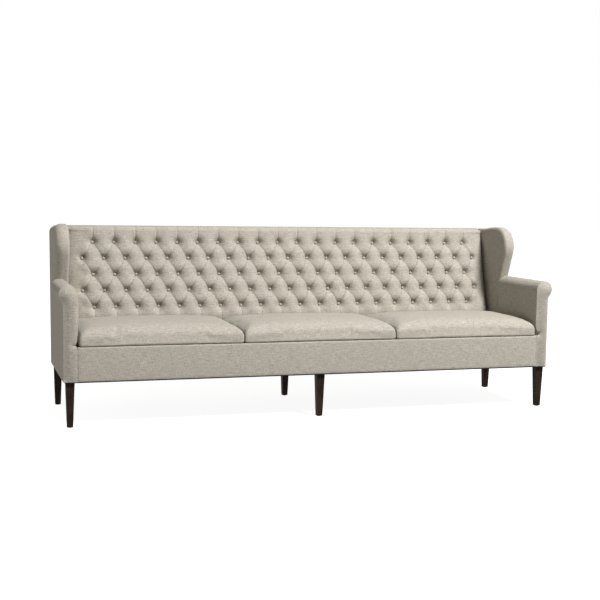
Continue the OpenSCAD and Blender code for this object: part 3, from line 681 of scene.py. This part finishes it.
arm = {
    "innerX": 1302.0, "scrollR": 48.0, "scrollX": 1350.0, "scrollZ": 681.0, "scrollEnd": 36.0, "blend": 34.0,
    "creaseX": 1326.0, "creaseZ": 423.0, "creaseTop": 504.0, "creaseLow": 405.0, "hollowDeep": 26.0,
    "seamX": 1302.0, "seamR": 4.0, "frontR": 9.0, "bulge": {-1: 8.0, 1: 2.0}, "bulgeFrom": 500,
    "footY": 80.0, "footZ": 690.0, "step": 6.0, "rings": 56, "rearRings": 12,
    "puff": 2.4, "headPuff": 7.5, "seam": 1.5, "seamIn": 11.4, "seamWide": 1.3,
    "depths": (0.6, 1.3, 2.2, 3.4, 4.9, 6.8, 8.9, 10.4, 11.4, 12.4, 13.8, 16.0, 19.0),
    "grid": 5.5, "gridIn": 21.5, "wave": 210, "seeds": {-1: 11, 1: 12},
}


def armOutline():
    # the arm's cross-section on the right: inner face, top, scroll and outer face
    corners = [(arm["seamX"], sofa["baseZ"]), (arm["seamX"], arm["creaseLow"]),
               (arm["creaseX"], arm["creaseZ"])]
    for k in range(9):      # the inner face swells out again over the cushion
        t = k/8
        corners.append((arm["creaseX"] + (arm["innerX"] - arm["creaseX"])*sin(t*pi/2),
                        arm["creaseZ"] + (arm["creaseTop"] - arm["creaseZ"])*(0.35*t + 0.65*t*t)))
    r, x0, z0 = arm["scrollR"], arm["scrollX"], arm["scrollZ"]
    turn, end = 180, -arm["scrollEnd"]
    while turn > end:
        a = radians(turn)
        corners.append((x0 + r*cos(a), z0 + r*sin(a)))
        turn -= 6
    a = radians(end)       # the scroll's underside runs on softly into the outer face
    last = np.array((x0 + r*cos(a), z0 + r*sin(a)))
    foot = np.array((sofa["outerX"], last[1] - arm["blend"]))
    bend = [last + np.array((sin(a), -cos(a)))*arm["blend"]*0.55,
            foot + np.array((0, arm["blend"]*0.45))]
    for k in range(8):
        s = k/7
        corners.append(tuple(last*(1 - s)**3 + bend[0]*3*s*(1 - s)**2 + bend[1]*3*s*s*(1 - s) + foot*s**3))
    corners.append((sofa["outerX"], sofa["baseZ"]))
    return spaced(np.array(corners), arm["step"])


def spaced(line, step):
    # more points along a line, none further apart than the step, with its corners kept
    points = [line[0]]
    for a, b in zip(line[:-1], line[1:]):
        count = max(1, ceil(np.hypot(*(b - a))/step))
        points += [a + (b - a)*k/count for k in range(1, count + 1)]
    kept = [points[0]]
    for p in points[1:]:
        if np.hypot(*(p - kept[-1])) > 0.5:
            kept.append(p)
    return np.array(kept)


def joined(points, faces):
    # one closed shell: points in the same place become one, and its faces point outwards
    work = bmesh.new()
    corners = [work.verts.new(p) for p in points]
    for face in faces:
        work.faces.new([corners[i] for i in face])
    bmesh.ops.remove_doubles(work, verts=work.verts, dist=0.05)
    bmesh.ops.recalc_face_normals(work, faces=work.faces)
    work.verts.index_update()
    places = np.array([tuple(v.co) for v in work.verts])
    kept = [tuple(v.index for v in face.verts) for face in work.faces]
    work.free()
    return places, kept


def farIn(points, ring, values=None):
    # how far each point lies from the ring's outline, and the ring's value there
    a, b = ring, np.roll(ring, -1, 0)
    run = b - a
    rel = points[:, None] - a[None]
    share = np.clip((rel*run).sum(2)/(run*run).sum(1), 0, 1)
    far = np.linalg.norm(rel - share[..., None]*run, axis=2)
    if values is None:
        return far.min(1)
    near = far.argmin(1)
    at = share[np.arange(len(points)), near]
    return far.min(1), values[near]*(1 - at) + np.roll(values, -1)[near]*at


def frontRound(ring):
    # the facing's edge is round, but tight where it meets the front rail and at the floor side
    seamy = ease((arm["creaseZ"] - ring[:, 1])/14)*(ring[:, 0] < arm["creaseX"] + 4)
    lowest = ease((sofa["baseZ"] + 12 - ring[:, 1])/10)
    return arm["frontR"] + (arm["seamR"] - arm["frontR"])*np.maximum(seamy, lowest)


def facing(ring, frontY, rounds):
    # the seamed front panel: its edge is round, and a seam lies just inside it
    before, after = np.roll(ring, 1, 0), np.roll(ring, -1, 0)
    way = after - before
    way /= np.linalg.norm(way, axis=1)[:, None]
    inward = np.stack([-way[:, 1], way[:, 0]], 1)
    inner = []
    for depth in arm["depths"]:
        line = ring + inward*depth
        inner.append(line[np.abs(farIn(line, ring) - depth) < 0.25])
    grid = np.meshgrid(*[np.arange(line.min(), line.max(), arm["grid"]) for line in ring.T])
    grid = np.stack([line.ravel() for line in grid], 1)
    inner.append(grid[farIn(grid, ring) > arm["gridIn"]])
    places = [Vector(p) for p in np.concatenate([ring] + inner)]
    found = delaunay_2d_cdt(places, [], [list(range(len(ring)))], 1, 0.01)
    flat = np.array([tuple(p) for p in found[0]])
    depth, r = farIn(flat, ring, rounds)
    seam = arm["seam"]*groove(depth - arm["seamIn"], arm["seamWide"])*(r > 0.8*arm["frontR"])
    head = ease((flat[:, 1] - arm["scrollZ"] + 60)/50)
    puff = (arm["puff"] + (arm["headPuff"] - arm["puff"])*head)*ease((depth - arm["seamIn"])/30)
    y = frontY + r*roundOff(depth, r) + seam - puff + 0.6
    y = np.where(depth < 0.02, frontY + r, y)
    return np.stack([flat[:, 0], y, flat[:, 1]], 1), [tuple(face) for face in found[2]]


def makeArm(side, word):
    outline = armOutline()
    bottom = spaced(np.array([outline[-1], outline[0]]), arm["step"])[1:-1]
    ring = np.concatenate([outline, bottom])
    frontY, rounds = sofa["frontY"], frontRound(ring)
    rings = [(ring, frontY + rounds)]
    for share in np.linspace(0, 1, arm["rings"])[1:]:
        y = frontY + rounds + (arm["footY"] - frontY - rounds)*share
        lip = arm["bulge"][side]*sin(pi*min(1, share*1.1)**0.5)
        shape = ring.copy()
        high = ease((shape[:, 1] - arm["bulgeFrom"])/60)*ease((arm["scrollZ"] + 40 - shape[:, 1])/50)
        inner = shape[:, 0] < arm["innerX"] + 24
        shape[:, 0] -= np.where(inner, lip*high, 0)
        sway = waver(y, ring[:, 1], arm["seeds"][side], arm["wave"])*0.8
        shape[:, 0] += np.where(inner, sway*high, 0)
        # the hollow beside the cushion is only as deep as the facing's roll
        hollow = inner & (shape[:, 1] > arm["creaseLow"] - 1) & (shape[:, 1] < arm["creaseTop"])
        filled = ease((y - frontY - arm["frontR"])/arm["hollowDeep"])
        shape[:, 0] += np.where(hollow, (arm["innerX"] - shape[:, 0])*filled, 0)
        rings.append((shape, y))
    low = ring.copy()
    low[:, 1] = np.minimum(low[:, 1], arm["footZ"])
    low[:, 0] = np.minimum(low[:, 0], sofa["outerX"])
    rings.append((low, arm["footY"] + 0.2))
    points = [np.stack([s[:, 0], np.broadcast_to(y, len(s)), s[:, 1]], 1) for s, y in rings]
    rear = rearY(low[:, 1]) - sofa["backPad"]
    for t in np.arange(1, arm["rearRings"] + 1)/arm["rearRings"]:    # on under the wing, to the leaning back
        points.append(np.stack([low[:, 0], arm["footY"] + (rear - arm["footY"])*t, low[:, 1]], 1))
    points = np.array(points)
    points[:, :, 0] *= side
    count, cols = points.shape[:2]
    faces = netFaces(count, cols, wrap=True)
    faces.append(tuple(range((count - 1)*cols, count*cols)))
    panel, panelFaces = facing(ring, frontY, rounds)
    panel[:, 0] *= side
    start = count*cols
    faces += [tuple(start + i for i in face) for face in panelFaces]
    points = np.concatenate([points.reshape(-1, 3), panel])
    piece = upholster(f"{word}Arm", joined(points, faces), f"{word}_arm_cover", smooth=50)
    # inside its seam, up to the scroll's head, the facing is a cut of its own; it is marked to be painted
    # darker, as shade
    places = pointsOf(piece)
    front = np.flatnonzero(places[:, 1] < frontY + 12)
    inside = ease((farIn(places[front][:, [0, 2]]*(side, 1), ring) - arm["seamIn"] + 1.5)/3)
    turned = np.zeros(len(places))
    turned[front] = inside*ease((arm["scrollZ"] + 5 - places[front, 2])/80)
    mark(piece, "turned", turned)


for side, word in ((-1, "left"), (1, "right")):
    makeArm(side, word)
print("arms: two, with scrolls and seamed facings")


wing = {
    "top": 1024.0, "noseY": 123.0, "noseZ": 905.0, "noseR": 119.0, "footY": 80.0, "footZ": 690.0,
    "round": 42.0, "innerR": 17.0, "innerDeep": 30.0, "levels": 10, "step": 7.0,
    "rearDrop": 13.0, "fallFrom": 165.0, "fallTo": 335.0,
    "middle": (230.0, 800.0), "drawnIn": (60, 44, 30, 18, 8), "drawn": 170, "nose": 28, "back": 10,
}


def wingOutline(inset):
    # the wing's side outline, drawn in: up from the foot, round the nose and back along the top
    run = (wing["footY"] - wing["noseY"], wing["footZ"] - wing["noseZ"])
    reach = hypot(*run)
    end = degrees(atan2(-run[1], -run[0])) + 180 - degrees(acos(wing["noseR"]/reach))
    lean = radians(180 - end)
    points = [(wing["footY"] + inset/cos(lean), wing["footZ"])]
    for k in range(wing["nose"] + 1):
        a = radians(end + (90 - end)*k/wing["nose"])
        points.append((wing["noseY"] + (wing["noseR"] - inset)*cos(a),
                       wing["noseZ"] + (wing["noseR"] - inset)*sin(a)))
    rear = rearY(wing["top"] - wing["rearDrop"]) - sofa["backPad"]
    for k in range(1, wing["back"] + 1):    # the top falls softly to the back's own height
        y = wing["noseY"] + (rear - wing["noseY"])*k/wing["back"]
        fall = wing["rearDrop"]*float(ease((y - wing["fallFrom"])/(wing["fallTo"] - wing["fallFrom"])))
        points.append((y, wing["top"] - inset - fall))
    points.append((rearY(wing["footZ"]) - sofa["backPad"], wing["footZ"]))
    return np.array(points)


def makeWing(side, word):
    full = wingOutline(0)
    counts = [max(1, ceil(np.hypot(*(b - a))/wing["step"])) for a, b in zip(full[:-1], full[1:])]

    def outline(inset):
        line = wingOutline(inset)
        points = [line[0]]
        for a, b, count in zip(line[:-1], line[1:], counts):
            points += [a + (b - a)*k/count for k in range(1, count + 1)]
        return np.array(points)

    r, steps = wing["round"], wing["levels"]
    wide, deep = wing["innerR"], wing["innerDeep"]
    turns = [radians(90*k/steps) for k in range(steps + 1)]
    rings = [(sofa["innerX"] + wide*(1 - cos(a)), deep*(1 - sin(a))) for a in turns]
    rings += [(sofa["outerX"] - r*(1 - cos(a)), r*(1 - sin(a))) for a in turns[::-1]]
    # the flat faces: drawn further in, ring by ring, to their middles
    inner = [(sofa["innerX"], deep, extra) for extra in wing["drawnIn"]]
    outer = [(sofa["outerX"], r, extra) for extra in wing["drawnIn"][::-1]]
    levels = inner + [(x, inset, 0) for x, inset in rings] + outer
    points = []
    for x, inset, extra in levels:
        shape = outline(inset)
        if extra:
            shape += (np.array(wing["middle"]) - shape)*extra/wing["drawn"]
            shape[:, 1] = np.maximum(shape[:, 1], wing["footZ"])
        points.append(np.stack([np.full(len(shape), x), shape[:, 0], shape[:, 1]], 1))
    points, faces = closedNet(np.array(points)*(side, 1, 1))
    if side > 0:
        faces = [face[::-1] for face in faces]
    upholster(f"{word}Wing", (points, faces), f"{word}_wing_cover", smooth=60)


for side, word in ((-1, "left"), (1, "right")):
    makeWing(side, word)
print("wings: two")


rail = {
    "endX": 1301.9, "thick": 12.0, "round": 7.0, "puff": 1.6, "puffRun": 60, "seam": 1.6, "seamWide": 4,
    "columns": 260, "wave": 260,
}


def makeRailCover():
    front, back = sofa["frontY"], sofa["frontY"] + rail["thick"]
    base, top, r = sofa["baseZ"], sofa["deckZ"], rail["round"]
    line = [(back, base), (back, top)]
    line += [(front + r - r*cos(radians(a)), top - r + r*sin(radians(a)))
             for a in range(90, -1, -10)]
    line += [(front, top - r - (top - r - base - 4)*k/16) for k in range(1, 17)]
    line += [(front + 1.2, base + 1.2), (front + 4, base)]
    line = np.array(line)
    points = []
    for x in np.linspace(-rail["endX"], rail["endX"], rail["columns"]):
        end, shape = rail["endX"] - abs(x), line.copy()
        low = rail["seam"]*groove(end, rail["seamWide"])
        face = ease((back - 4 - shape[:, 0])/6)
        level = (shape[:, 1] - base)/(top - base)
        puff = rail["puff"]*np.sin(np.pi*np.clip(level, 0, 1))*ease(end/rail["puffRun"])
        sway = 0.7*waver(np.full(len(shape), x), shape[:, 1], 21, rail["wave"])
        shape[:, 0] += face*(low - puff*0.6 + sway*0.6 + 0.4)
        points.append(np.stack([np.full(len(shape), x), shape[:, 0], shape[:, 1]], 1))
    upholster("railCover", closedNet(np.array(points)), "front_rail_cover", smooth=50)


makeRailCover()


outside = {
    "thick": 6.0, "round": 3.0, "seamIn": 14.0, "seamWide": 2.5, "seam": 1.4, "puff": 1.5, "columns": 230,
    "rows": 66, "crowding": 1.15, "edges": (1.0, 2.5, 4.5, 9.0), "wave": 330,
}


def makeOutsideBack():
    half, low, high = sofa["outerX"], sofa["baseZ"], sofa["rearTopZ"]
    near = half - np.array(outside["edges"])
    xs = np.sort(np.concatenate([crowded(half, outside["columns"], outside["crowding"]), near, -near]))
    x, share = np.meshgrid(xs, np.linspace(0, 1, outside["rows"]))
    # its upper corners follow the wings' rounded outer edge
    corner = wing["round"]*roundOff(half - np.abs(x), wing["round"])
    high = np.minimum(high, wing["top"] - wing["rearDrop"] - corner)
    z = low + (high - low)*share
    edge = np.minimum(np.minimum(half - np.abs(x), z - low), high - z)
    out = outside["thick"]*np.sqrt(1 - np.clip(1 - edge/outside["round"], 0, 1)**2*0.75)
    out = out + outside["puff"]*ease((edge - 10)/120)
    out = out - outside["seam"]*groove(edge - outside["seamIn"], outside["seamWide"])
    out = out + 0.6*waver(x, z, 31, outside["wave"])*ease(edge/60)
    y, rim = rearY(z) - outside["thick"], rimOf(*x.shape)
    back, inner = (np.stack([x, y + rise, z], 2).reshape(-1, 3) for rise in (out, 0))
    ring = list(range(len(back), len(back) + len(rim)))
    faces = [face[::-1] for face in netFaces(*x.shape)] + [ring]
    faces += zip(rim, rim[1:] + rim[:1], ring[1:] + ring[:1], ring)
    points = np.concatenate([back, inner[rim]])
    upholster("outsideBack", (points, faces), "outside_back", smooth=50)


makeOutsideBack()
print("front rail and outside back")


cushion = {
    "pitch": 865.0, "width": 864.0, "depth": 564.0, "middleY": -115.5, "bottomZ": 414.3, "top": 531.0,
    "edge": 92.0, "crown": 24.0, "corner": 12.0, "cornerDrop": 0.10, "pull": 3.0, "planStep": 14.0,
    "shrink": 5.0, "voxel": 7.5, "pressure": 1.6, "frames": 20, "quality": 5, "stiffness": 15, "bending": 0.6,
    "clothMass": 0.3, "cap": 16.0, "held": 0.12, "holdFrom": 6, "holdRun": 42.0, "seamIn": 9.0,
    "favour": (1, 0.8, 1),
    "shares": (
        (0.022, 0.0, 0), (0.010, 0.012, 0), (0.003, 0.045, 0), (0, 0.11, 0), (0, 0.22, 0), (0, 0.36, 0),
        (0.002, 0.50, 0), (0.008, 0.63, 0), (0.020, 0.745, 0.01), (0.040, 0.84, 0.03), (0.070, 0.92, 0.07),
        (0.110, 0.97, 0.14), (0.16, 1, 0.24), (0.22, 1, 0.37), (0.29, 1, 0.50), (0.37, 1, 0.62),
        (0.46, 1, 0.73), (0.56, 1, 0.83), (0.67, 1, 0.91), (0.78, 1, 0.96), (0.9, 1, 1)),
}


def crownedBox(half, deep, shares, edge, crown=0, drop=0):
    # the rings of a crowned box from its underside up to its top: each is drawn in by a share of the
    # depth, and lies so far up the edge and so far up the crown
    plan, rings = cushionPlan(half, deep), []
    for draw, rise, swell in shares:
        d = draw*deep
        corner = (np.abs(plan[:, 0]/half)*np.abs(plan[:, 1]/deep))**4*(1 - draw)
        z = (rise*edge + swell*crown)*(1 - drop*corner*rise)
        rings.append(np.stack([plan[:, 0]*(1 - d/half), plan[:, 1]*(1 - d/deep), z], 1))
    return np.array(rings)


def inflate(piece, middleX):
    # air pressure swells the cover; it stays between its neighbours and flat on the deck
    pickOnly(piece)
    net = piece.modifiers.new("evenNet", "REMESH")
    net.mode, net.voxel_size = "VOXEL", cushion["voxel"]*mm
    bpy.ops.object.modifier_apply(modifier=net.name)
    start = valuesOf(piece.data.vertices, "co", 3)
    air = piece.modifiers.new("air", "CLOTH")
    cloth = air.settings
    cloth.quality, cloth.mass = cushion["quality"], cushion["clothMass"]
    cloth.tension_stiffness = cloth.compression_stiffness = cushion["stiffness"]
    cloth.bending_stiffness = cushion["bending"]
    cloth.use_pressure, cloth.uniform_pressure_force = True, cushion["pressure"]
    cloth.effector_weights.gravity = 0
    scene = bpy.context.scene
    for step in range(1, cushion["frames"] + 1):
        scene.frame_set(step)
    swollen = piece.evaluated_get(bpy.context.evaluated_depsgraph_get()).to_mesh()
    move = valuesOf(swollen.vertices, "co", 3) - start
    piece.modifiers.remove(air)
    scene.frame_set(1)
    far = np.linalg.norm(move, axis=1)[:, None] + 1e-9
    cap, least = cushion["cap"]*mm, cushion["held"]
    # it swells least at its lower edge, on the deck, and at its ends, where its neighbours press on it
    up = start[:, 2:]/mm - cushion["bottomZ"] - cushion["holdFrom"]
    along = cushion["width"]/2 - np.abs(start[:, :1]/mm - middleX)
    held = least + (1 - least)*ease(up/cushion["holdRun"])*ease(along/cushion["holdRun"])
    place = start + move/far*cap*np.tanh(far/cap)*held
    print("  swelled by", round(float(far.mean()/mm), 1), "mm")
    # the swollen cover is set back into its place: full width and depth, and flat on the deck
    for axis, middle, size in ((0, middleX, cushion["width"]), (1, cushion["middleY"], cushion["depth"])):
        low, high = place[:, axis].min(), place[:, axis].max()
        place[:, axis] = middle*mm + (place[:, axis] - (low + high)/2)*size*mm/(high - low)
    base = cushion["bottomZ"]*mm
    above = np.clip((place[:, 2] - base)/(place[:, 2].max() - base), 0, None)
    place[:, 2] = base + above*(cushion["top"]*mm - base)
    piece.data.vertices.foreach_set("co", place.ravel())
    piece.data.update()
    finer = piece.modifiers.new("finer", "SUBSURF")
    finer.levels = finer.render_levels = 1
    bpy.ops.object.modifier_apply(modifier=finer.name)
    smoothAll(piece)


def cushionPlan(half, deep):
    # the outline seen from above: four sides that draw in a little, and four round corners
    points, r = [], cushion["corner"]
    for side, (length, width) in enumerate(((half, deep), (deep, half))*2):
        turn = side*pi/2
        ahead, aside = cos(turn), sin(turn)
        run, reach, steps = length - r, width - r, ceil(2*(length - r)/cushion["planStep"])
        for k in range(steps):
            s = -run + 2*run*k/steps
            out = width - cushion["pull"]*(1 - (s/run)**2)
            points.append((s*ahead + out*aside, s*aside - out*ahead))
        for k in range(5):
            a = turn + radians(18*k - 90)
            points.append((run*ahead + reach*aside + r*cos(a), run*aside - reach*ahead + r*sin(a)))
    return np.array(points)


def makeCushion(word, middleX):
    shrink = cushion["shrink"]     # a little small, because the air swells it
    rings = crownedBox(cushion["width"]/2 - shrink, cushion["depth"]/2 - shrink, cushion["shares"],
                       cushion["edge"] - shrink, cushion["crown"], cushion["cornerDrop"])
    net = closedNet(rings + (middleX, cushion["middleY"], cushion["bottomZ"]))
    piece = upholster(f"{word}Cushion", net, f"{word}_cushion_cover", f"{word}_cushion",
                      favour=cushion["favour"])
    inflate(piece, middleX)
    layThreads(piece.data, cushion["favour"])
    # the end panels are sewn in just inside the ends
    seamLine(piece, np.abs(pointsOf(piece)[:, 0] - middleX) - (cushion["width"]/2 - cushion["seamIn"]))


foam = {
    "inset": 32.0, "bottomZ": 428.0, "height": 62.0, "shares": (
        (0.9, 0, 0), (0.5, 0, 0), (0.03, 0, 0), (0.012, 0.05, 0), (0, 0.16, 0), (0, 0.5, 0), (0.008, 0.68, 0),
        (0.03, 0.82, 0), (0.065, 0.92, 0), (0.11, 0.98, 0), (0.17, 1, 0), (0.5, 1, 0), (0.9, 1, 0)),
}


def makeFoam(word, middleX):
    # the foam block inside a cushion, its edges rounded by the fibre wrap
    half, deep = cushion["width"]/2 - foam["inset"], cushion["depth"]/2 - foam["inset"]
    rings = crownedBox(half, deep, foam["shares"], foam["height"])
    net = closedNet(rings + (middleX, cushion["middleY"], foam["bottomZ"]))
    upholster(f"{word}Foam", net, f"{word}_cushion_core", f"{word}_cushion", seatFoam)


for place, word in enumerate(("left", "middle", "right")):
    makeCushion(word, (place - 1)*cushion["pitch"])
    makeFoam(word, (place - 1)*cushion["pitch"])
print("seat: three cushions and their foam")


deck = {
    "endX": 1328.7, "frontY": -386.0, "topZ": 413.6, "bottomZ": 394.2,
    "lipY": -262.0, "round": 7.0, "springPitch": 124.0, "springRise": 1.4, "springRun": 90,
    "columns": 190, "crowding": 1.12, "rows": 60, "edges": (0, 0.003, 0.008, 0.014, 0.022), "wave": 300,
}


def makeDeck():
    # the felt pad over the springs: platform cloth, with a strip of the sofa's linen sewn along its front
    lowY, highY = deck["frontY"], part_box("deck_pad")[1][1]/mm
    xs, edges = crowded(deck["endX"], deck["columns"], deck["crowding"]), deck["edges"]
    ys = lowY + (highY - lowY)*np.concatenate([edges[:-1], np.linspace(edges[-1], 1, deck["rows"])])
    x, y = np.meshgrid(xs, ys)
    edge = np.minimum(deck["endX"] - np.abs(x), np.minimum(y - lowY, highY - y))
    top = deck["topZ"] - deck["round"]*roundOff(edge, deck["round"])
    spring = 0.5 - 0.5*np.cos(2*np.pi*x/deck["springPitch"])
    top = top - deck["springRise"]*spring*ease(edge/deck["springRun"])
    top = top - 0.8*(1 + waver(x, y, 41, deck["wave"]))*ease(edge/60)
    net = slab(x, y, np.minimum(top, deck["topZ"]), np.full_like(top, deck["bottomZ"]))
    piece = upholster("deckPad", net, "deck_pad", material=platformCloth, smooth=60)
    piece.data.materials.append(fabric)
    for face in piece.data.polygons:
        face.material_index = int(face.center.y < deck["lipY"]*mm)
    seamLine(piece, pointsOf(piece)[:, 1] - deck["lipY"])


makeDeck()
print("deck: platform pad")


dust = {
    "forward": 4.0, "topZ": 236.9, "thick": 1.1, "hem": 20.0, "hemThick": 4.0, "sag": 1.3, "sagFrom": 70,
    "sagRun": 160, "columns": 140, "rows": 40, "wave": 420,
    "staples": 64.0, "stapleWide": 10.0, "wire": 0.7, "askew": 0.12, "fromEdge": 9.0, "fromLeg": 12.0,
}


def makeDustCover():
    # thin black cloth under the frame, its edge turned in and stapled
    low, high = np.array(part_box("dust_cover"))/mm
    low[1] -= dust["forward"]
    hem = dust["hem"]
    edges = np.array([0, hem - 1, hem])
    xs = np.linspace(low[0], high[0], dust["columns"])
    xs = np.concatenate([low[0] + edges, xs[3:-3], high[0] - edges[::-1]])
    ys = np.linspace(low[1] + hem + 8, high[1] - hem - 8, dust["rows"])
    ys = np.concatenate([low[1] + edges, ys, high[1] - edges[::-1]])
    x, y = np.meshgrid(xs, ys)
    edge = np.minimum(xs[-1] - np.abs(x), np.minimum(y - ys[0], ys[-1] - y))
    thick = np.where(edge < hem - 0.5, dust["hemThick"], dust["thick"])
    middle = ease((edge - dust["sagFrom"])/dust["sagRun"])
    top = dust["topZ"] - dust["sag"]*middle*(0.75 + 0.25*waver(x, y, 51, dust["wave"]))
    piece = newPiece("dustCloth", *slab(x, y, top, top - thick), liningCloth)
    dress(piece, "sofa_body", ["dust_cover"])
    makeStaples(*(low[:2] + dust["fromEdge"]), *(high[:2] - dust["fromEdge"]))


def makeStaples(x0, y0, x1, y1):
    wide, wire, z = dust["stapleWide"]*mm, dust["wire"]*mm, (dust["topZ"] - dust["hemThick"])*mm
    bpy.ops.object.select_all(action="DESELECT")
    bpy.ops.mesh.primitive_cube_add(size=1, location=(0, 0, -wire*0.3), scale=(wide, wire, wire))
    model = settled()
    turnTo("EDIT")
    bpy.ops.mesh.select_all(action="SELECT")
    bpy.ops.mesh.bevel(offset=wire*0.3, segments=1)
    turnTo("OBJECT")
    legs = [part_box(name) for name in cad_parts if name.endswith("_leg")]
    clear, places, rng = dust["fromLeg"]*mm, [], np.random.default_rng(7)

    def place(*spot, turn):
        x, y = spot
        if any(all(low[i] - clear < spot[i]*mm < high[i] + clear for i in (0, 1)) for low, high in legs):
            return
        turn += rng.normal()*dust["askew"]
        places.append(Matrix.Translation((x*mm, y*mm, z)) @ Matrix.Rotation(turn, 4, "Z"))

    alongX, alongY = int((x1 - x0)/dust["staples"]), int((y1 - y0)/dust["staples"])
    for k in range(alongX + 1):
        x = x0 + k*(x1 - x0)/alongX
        for y in (y0, y1):
            place(x + rng.normal(), y, turn=0)
    for k in range(1, alongY):
        y = y0 + k*(y1 - y0)/alongY
        for x in (x0, x1):
            place(x, y, turn=pi/2)
    scattered("dustStaples", model, places, brightSteel, [])


makeDustCover()
print("underside: dust cloth and staples")

# the way that each piece of timber lies, where it isn't upright
grainWay = {
    "X": ("front_rail", "rear_rail", "back_top_rail", "back_lower_rail", "corner_blocks"),
    "Y": ("left_side_rail", "right_side_rail", "cross_rails", "frame_dowels",
          "left_arm_rail", "right_arm_rail", "left_scroll_rail", "right_scroll_rail"),
}
otherFinish = {
    "block_screws": zincSteel, "leg_bolts": zincSteel, "leg_inserts": zincSteel,
    "spring_clips": brightSteel, "seat_springs": springSteel, "leg_glides": glidePlastic,
    "back_hessian": backSacking, "back_webbing": backWebbing, "deck_hessian": deckSacking,
}
for name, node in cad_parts.items():
    way = next((way for way, names in grainWay.items() if name in names), "Z")
    finish = legWood if name.endswith("_leg") else otherFinish.get(name, timber[way])
    node.data.materials.clear()
    node.data.materials.append(finish)
print("legs, frame, springs, webbing and foam: finishes")

view = {
    "place": (-1.9118, -5.9683, 1.1729), "turn": 0.3094, "down": 0.0907, "roll": 0.0156, "lens": 65.87,
    "sensor": 36,
}
studio = {
    "softKey": {"place": (2.9, -4.85, 7.05), "aim": (0, 0, 0.5), "size": 2.0, "power": 1245.0},
    "sideFill": {"place": (-4.3, -0.45, 0.8), "aim": (-1.37, 0.0, 0.85), "size": 0.7, "power": 18.0},
    "lampColour": (1.0, 0.99, 0.98),
    "world": (1.0, 0.975, 0.92), "fill": (0.22, 0.48), "backdrop": 1.0, "floor": (150, 150, 150),
    "floorGlow": (0.92, 1.0), "glowReach": 3.4, "floorSize": 60,
}


def makeCamera():
    turn, down, roll = view["turn"], view["down"], view["roll"]
    ahead = Vector((sin(turn)*cos(down), cos(turn)*cos(down), -sin(down)))
    level = Vector((cos(turn), -sin(turn), 0))
    up = level.cross(ahead)
    right = level*cos(roll) + up*sin(roll)
    top = up*cos(roll) - level*sin(roll)
    data = bpy.data.cameras.new("photoCamera")
    data.lens, data.sensor_width = view["lens"], view["sensor"]
    camera = inScene("photoCamera", data)
    camera.matrix_world = Matrix([*zip(right, top, -ahead, view["place"]), (0, 0, 0, 1)])
    bpy.context.scene.camera = camera


def makeLamp(name):
    look, data = studio[name], bpy.data.lights.new(name, "AREA")
    data.shape, data.size = "DISK", look["size"]
    data.energy, data.color = look["power"], studio["lampColour"]
    lamp = inScene(name, data)
    lamp.location = look["place"]
    lamp.rotation_euler = (Vector(look["aim"]) - Vector(look["place"])).to_track_quat("-Z", "Y").to_euler()
    lamp.visible_camera = False


def makeWorld():
    # a soft fill, more of it up from the pale floor than down from above, and a white backdrop for the camera
    sky = Recipe("studio", bpy.data.worlds)
    above, below = studio["fill"]
    height = sky.parts(sky.add("ShaderNodeTexCoord", output="Generated"))[2]
    fill = sky.add("ShaderNodeBackground", {}, {
        "Color": (*studio["world"], 1), "Strength": sky.range(height, -0.25, 0.25, below, above)})
    backdrop = sky.add("ShaderNodeBackground", {}, {"Color": (1, 1, 1, 1), "Strength": studio["backdrop"]})
    seen = sky.add("ShaderNodeLightPath", output="Is Camera Ray")
    blend = sky.add("ShaderNodeMixShader", {}, {0: seen, 1: fill, 2: backdrop})
    sky.add("ShaderNodeOutputWorld", {}, {"Surface": blend})
    bpy.context.scene.world = sky.made


def makeFloor():
    # the floor glows a little, more with distance, so that it runs into the white backdrop
    plain = Recipe("paleFloor")
    spot = plain.place()
    cloud = plain.noise(spot, 0.6, 2.0)
    tone = plain.tones(cloud, 0.3, studio["floor"], 0.7, [c - 3 for c in studio["floor"]])
    far = plain.add("ShaderNodeTexGradient", {"gradient_type": "SPHERICAL"}, {
        "Vector": plain.stretch(spot, (1/studio["glowReach"],)*3)})
    near, away = studio["floorGlow"]
    glow = plain.ramp(far, [(0.0, (away,)*3), (0.75, (near,)*3)])
    material = plain.finish(Base_Color=tone, Roughness=0.8, Specular_IOR_Level=0.1, Emission_Color=glow,
                            Emission_Strength=1.0)
    bpy.ops.object.select_all(action="DESELECT")
    bpy.ops.mesh.primitive_plane_add(size=studio["floorSize"], location=(0, 0, 0))
    floor = settled()
    floor.name = "floor"
    floor.data.materials.append(material)
    floor.visible_diffuse = floor.visible_glossy = False    # the sofa's fill comes from the even world alone


makeCamera()
makeLamp("softKey")
makeLamp("sideFill")
makeWorld()
makeFloor()
bpy.context.scene.view_settings.view_transform = "Standard"
print("camera, light and floor")

bpy.context.view_layer.update()
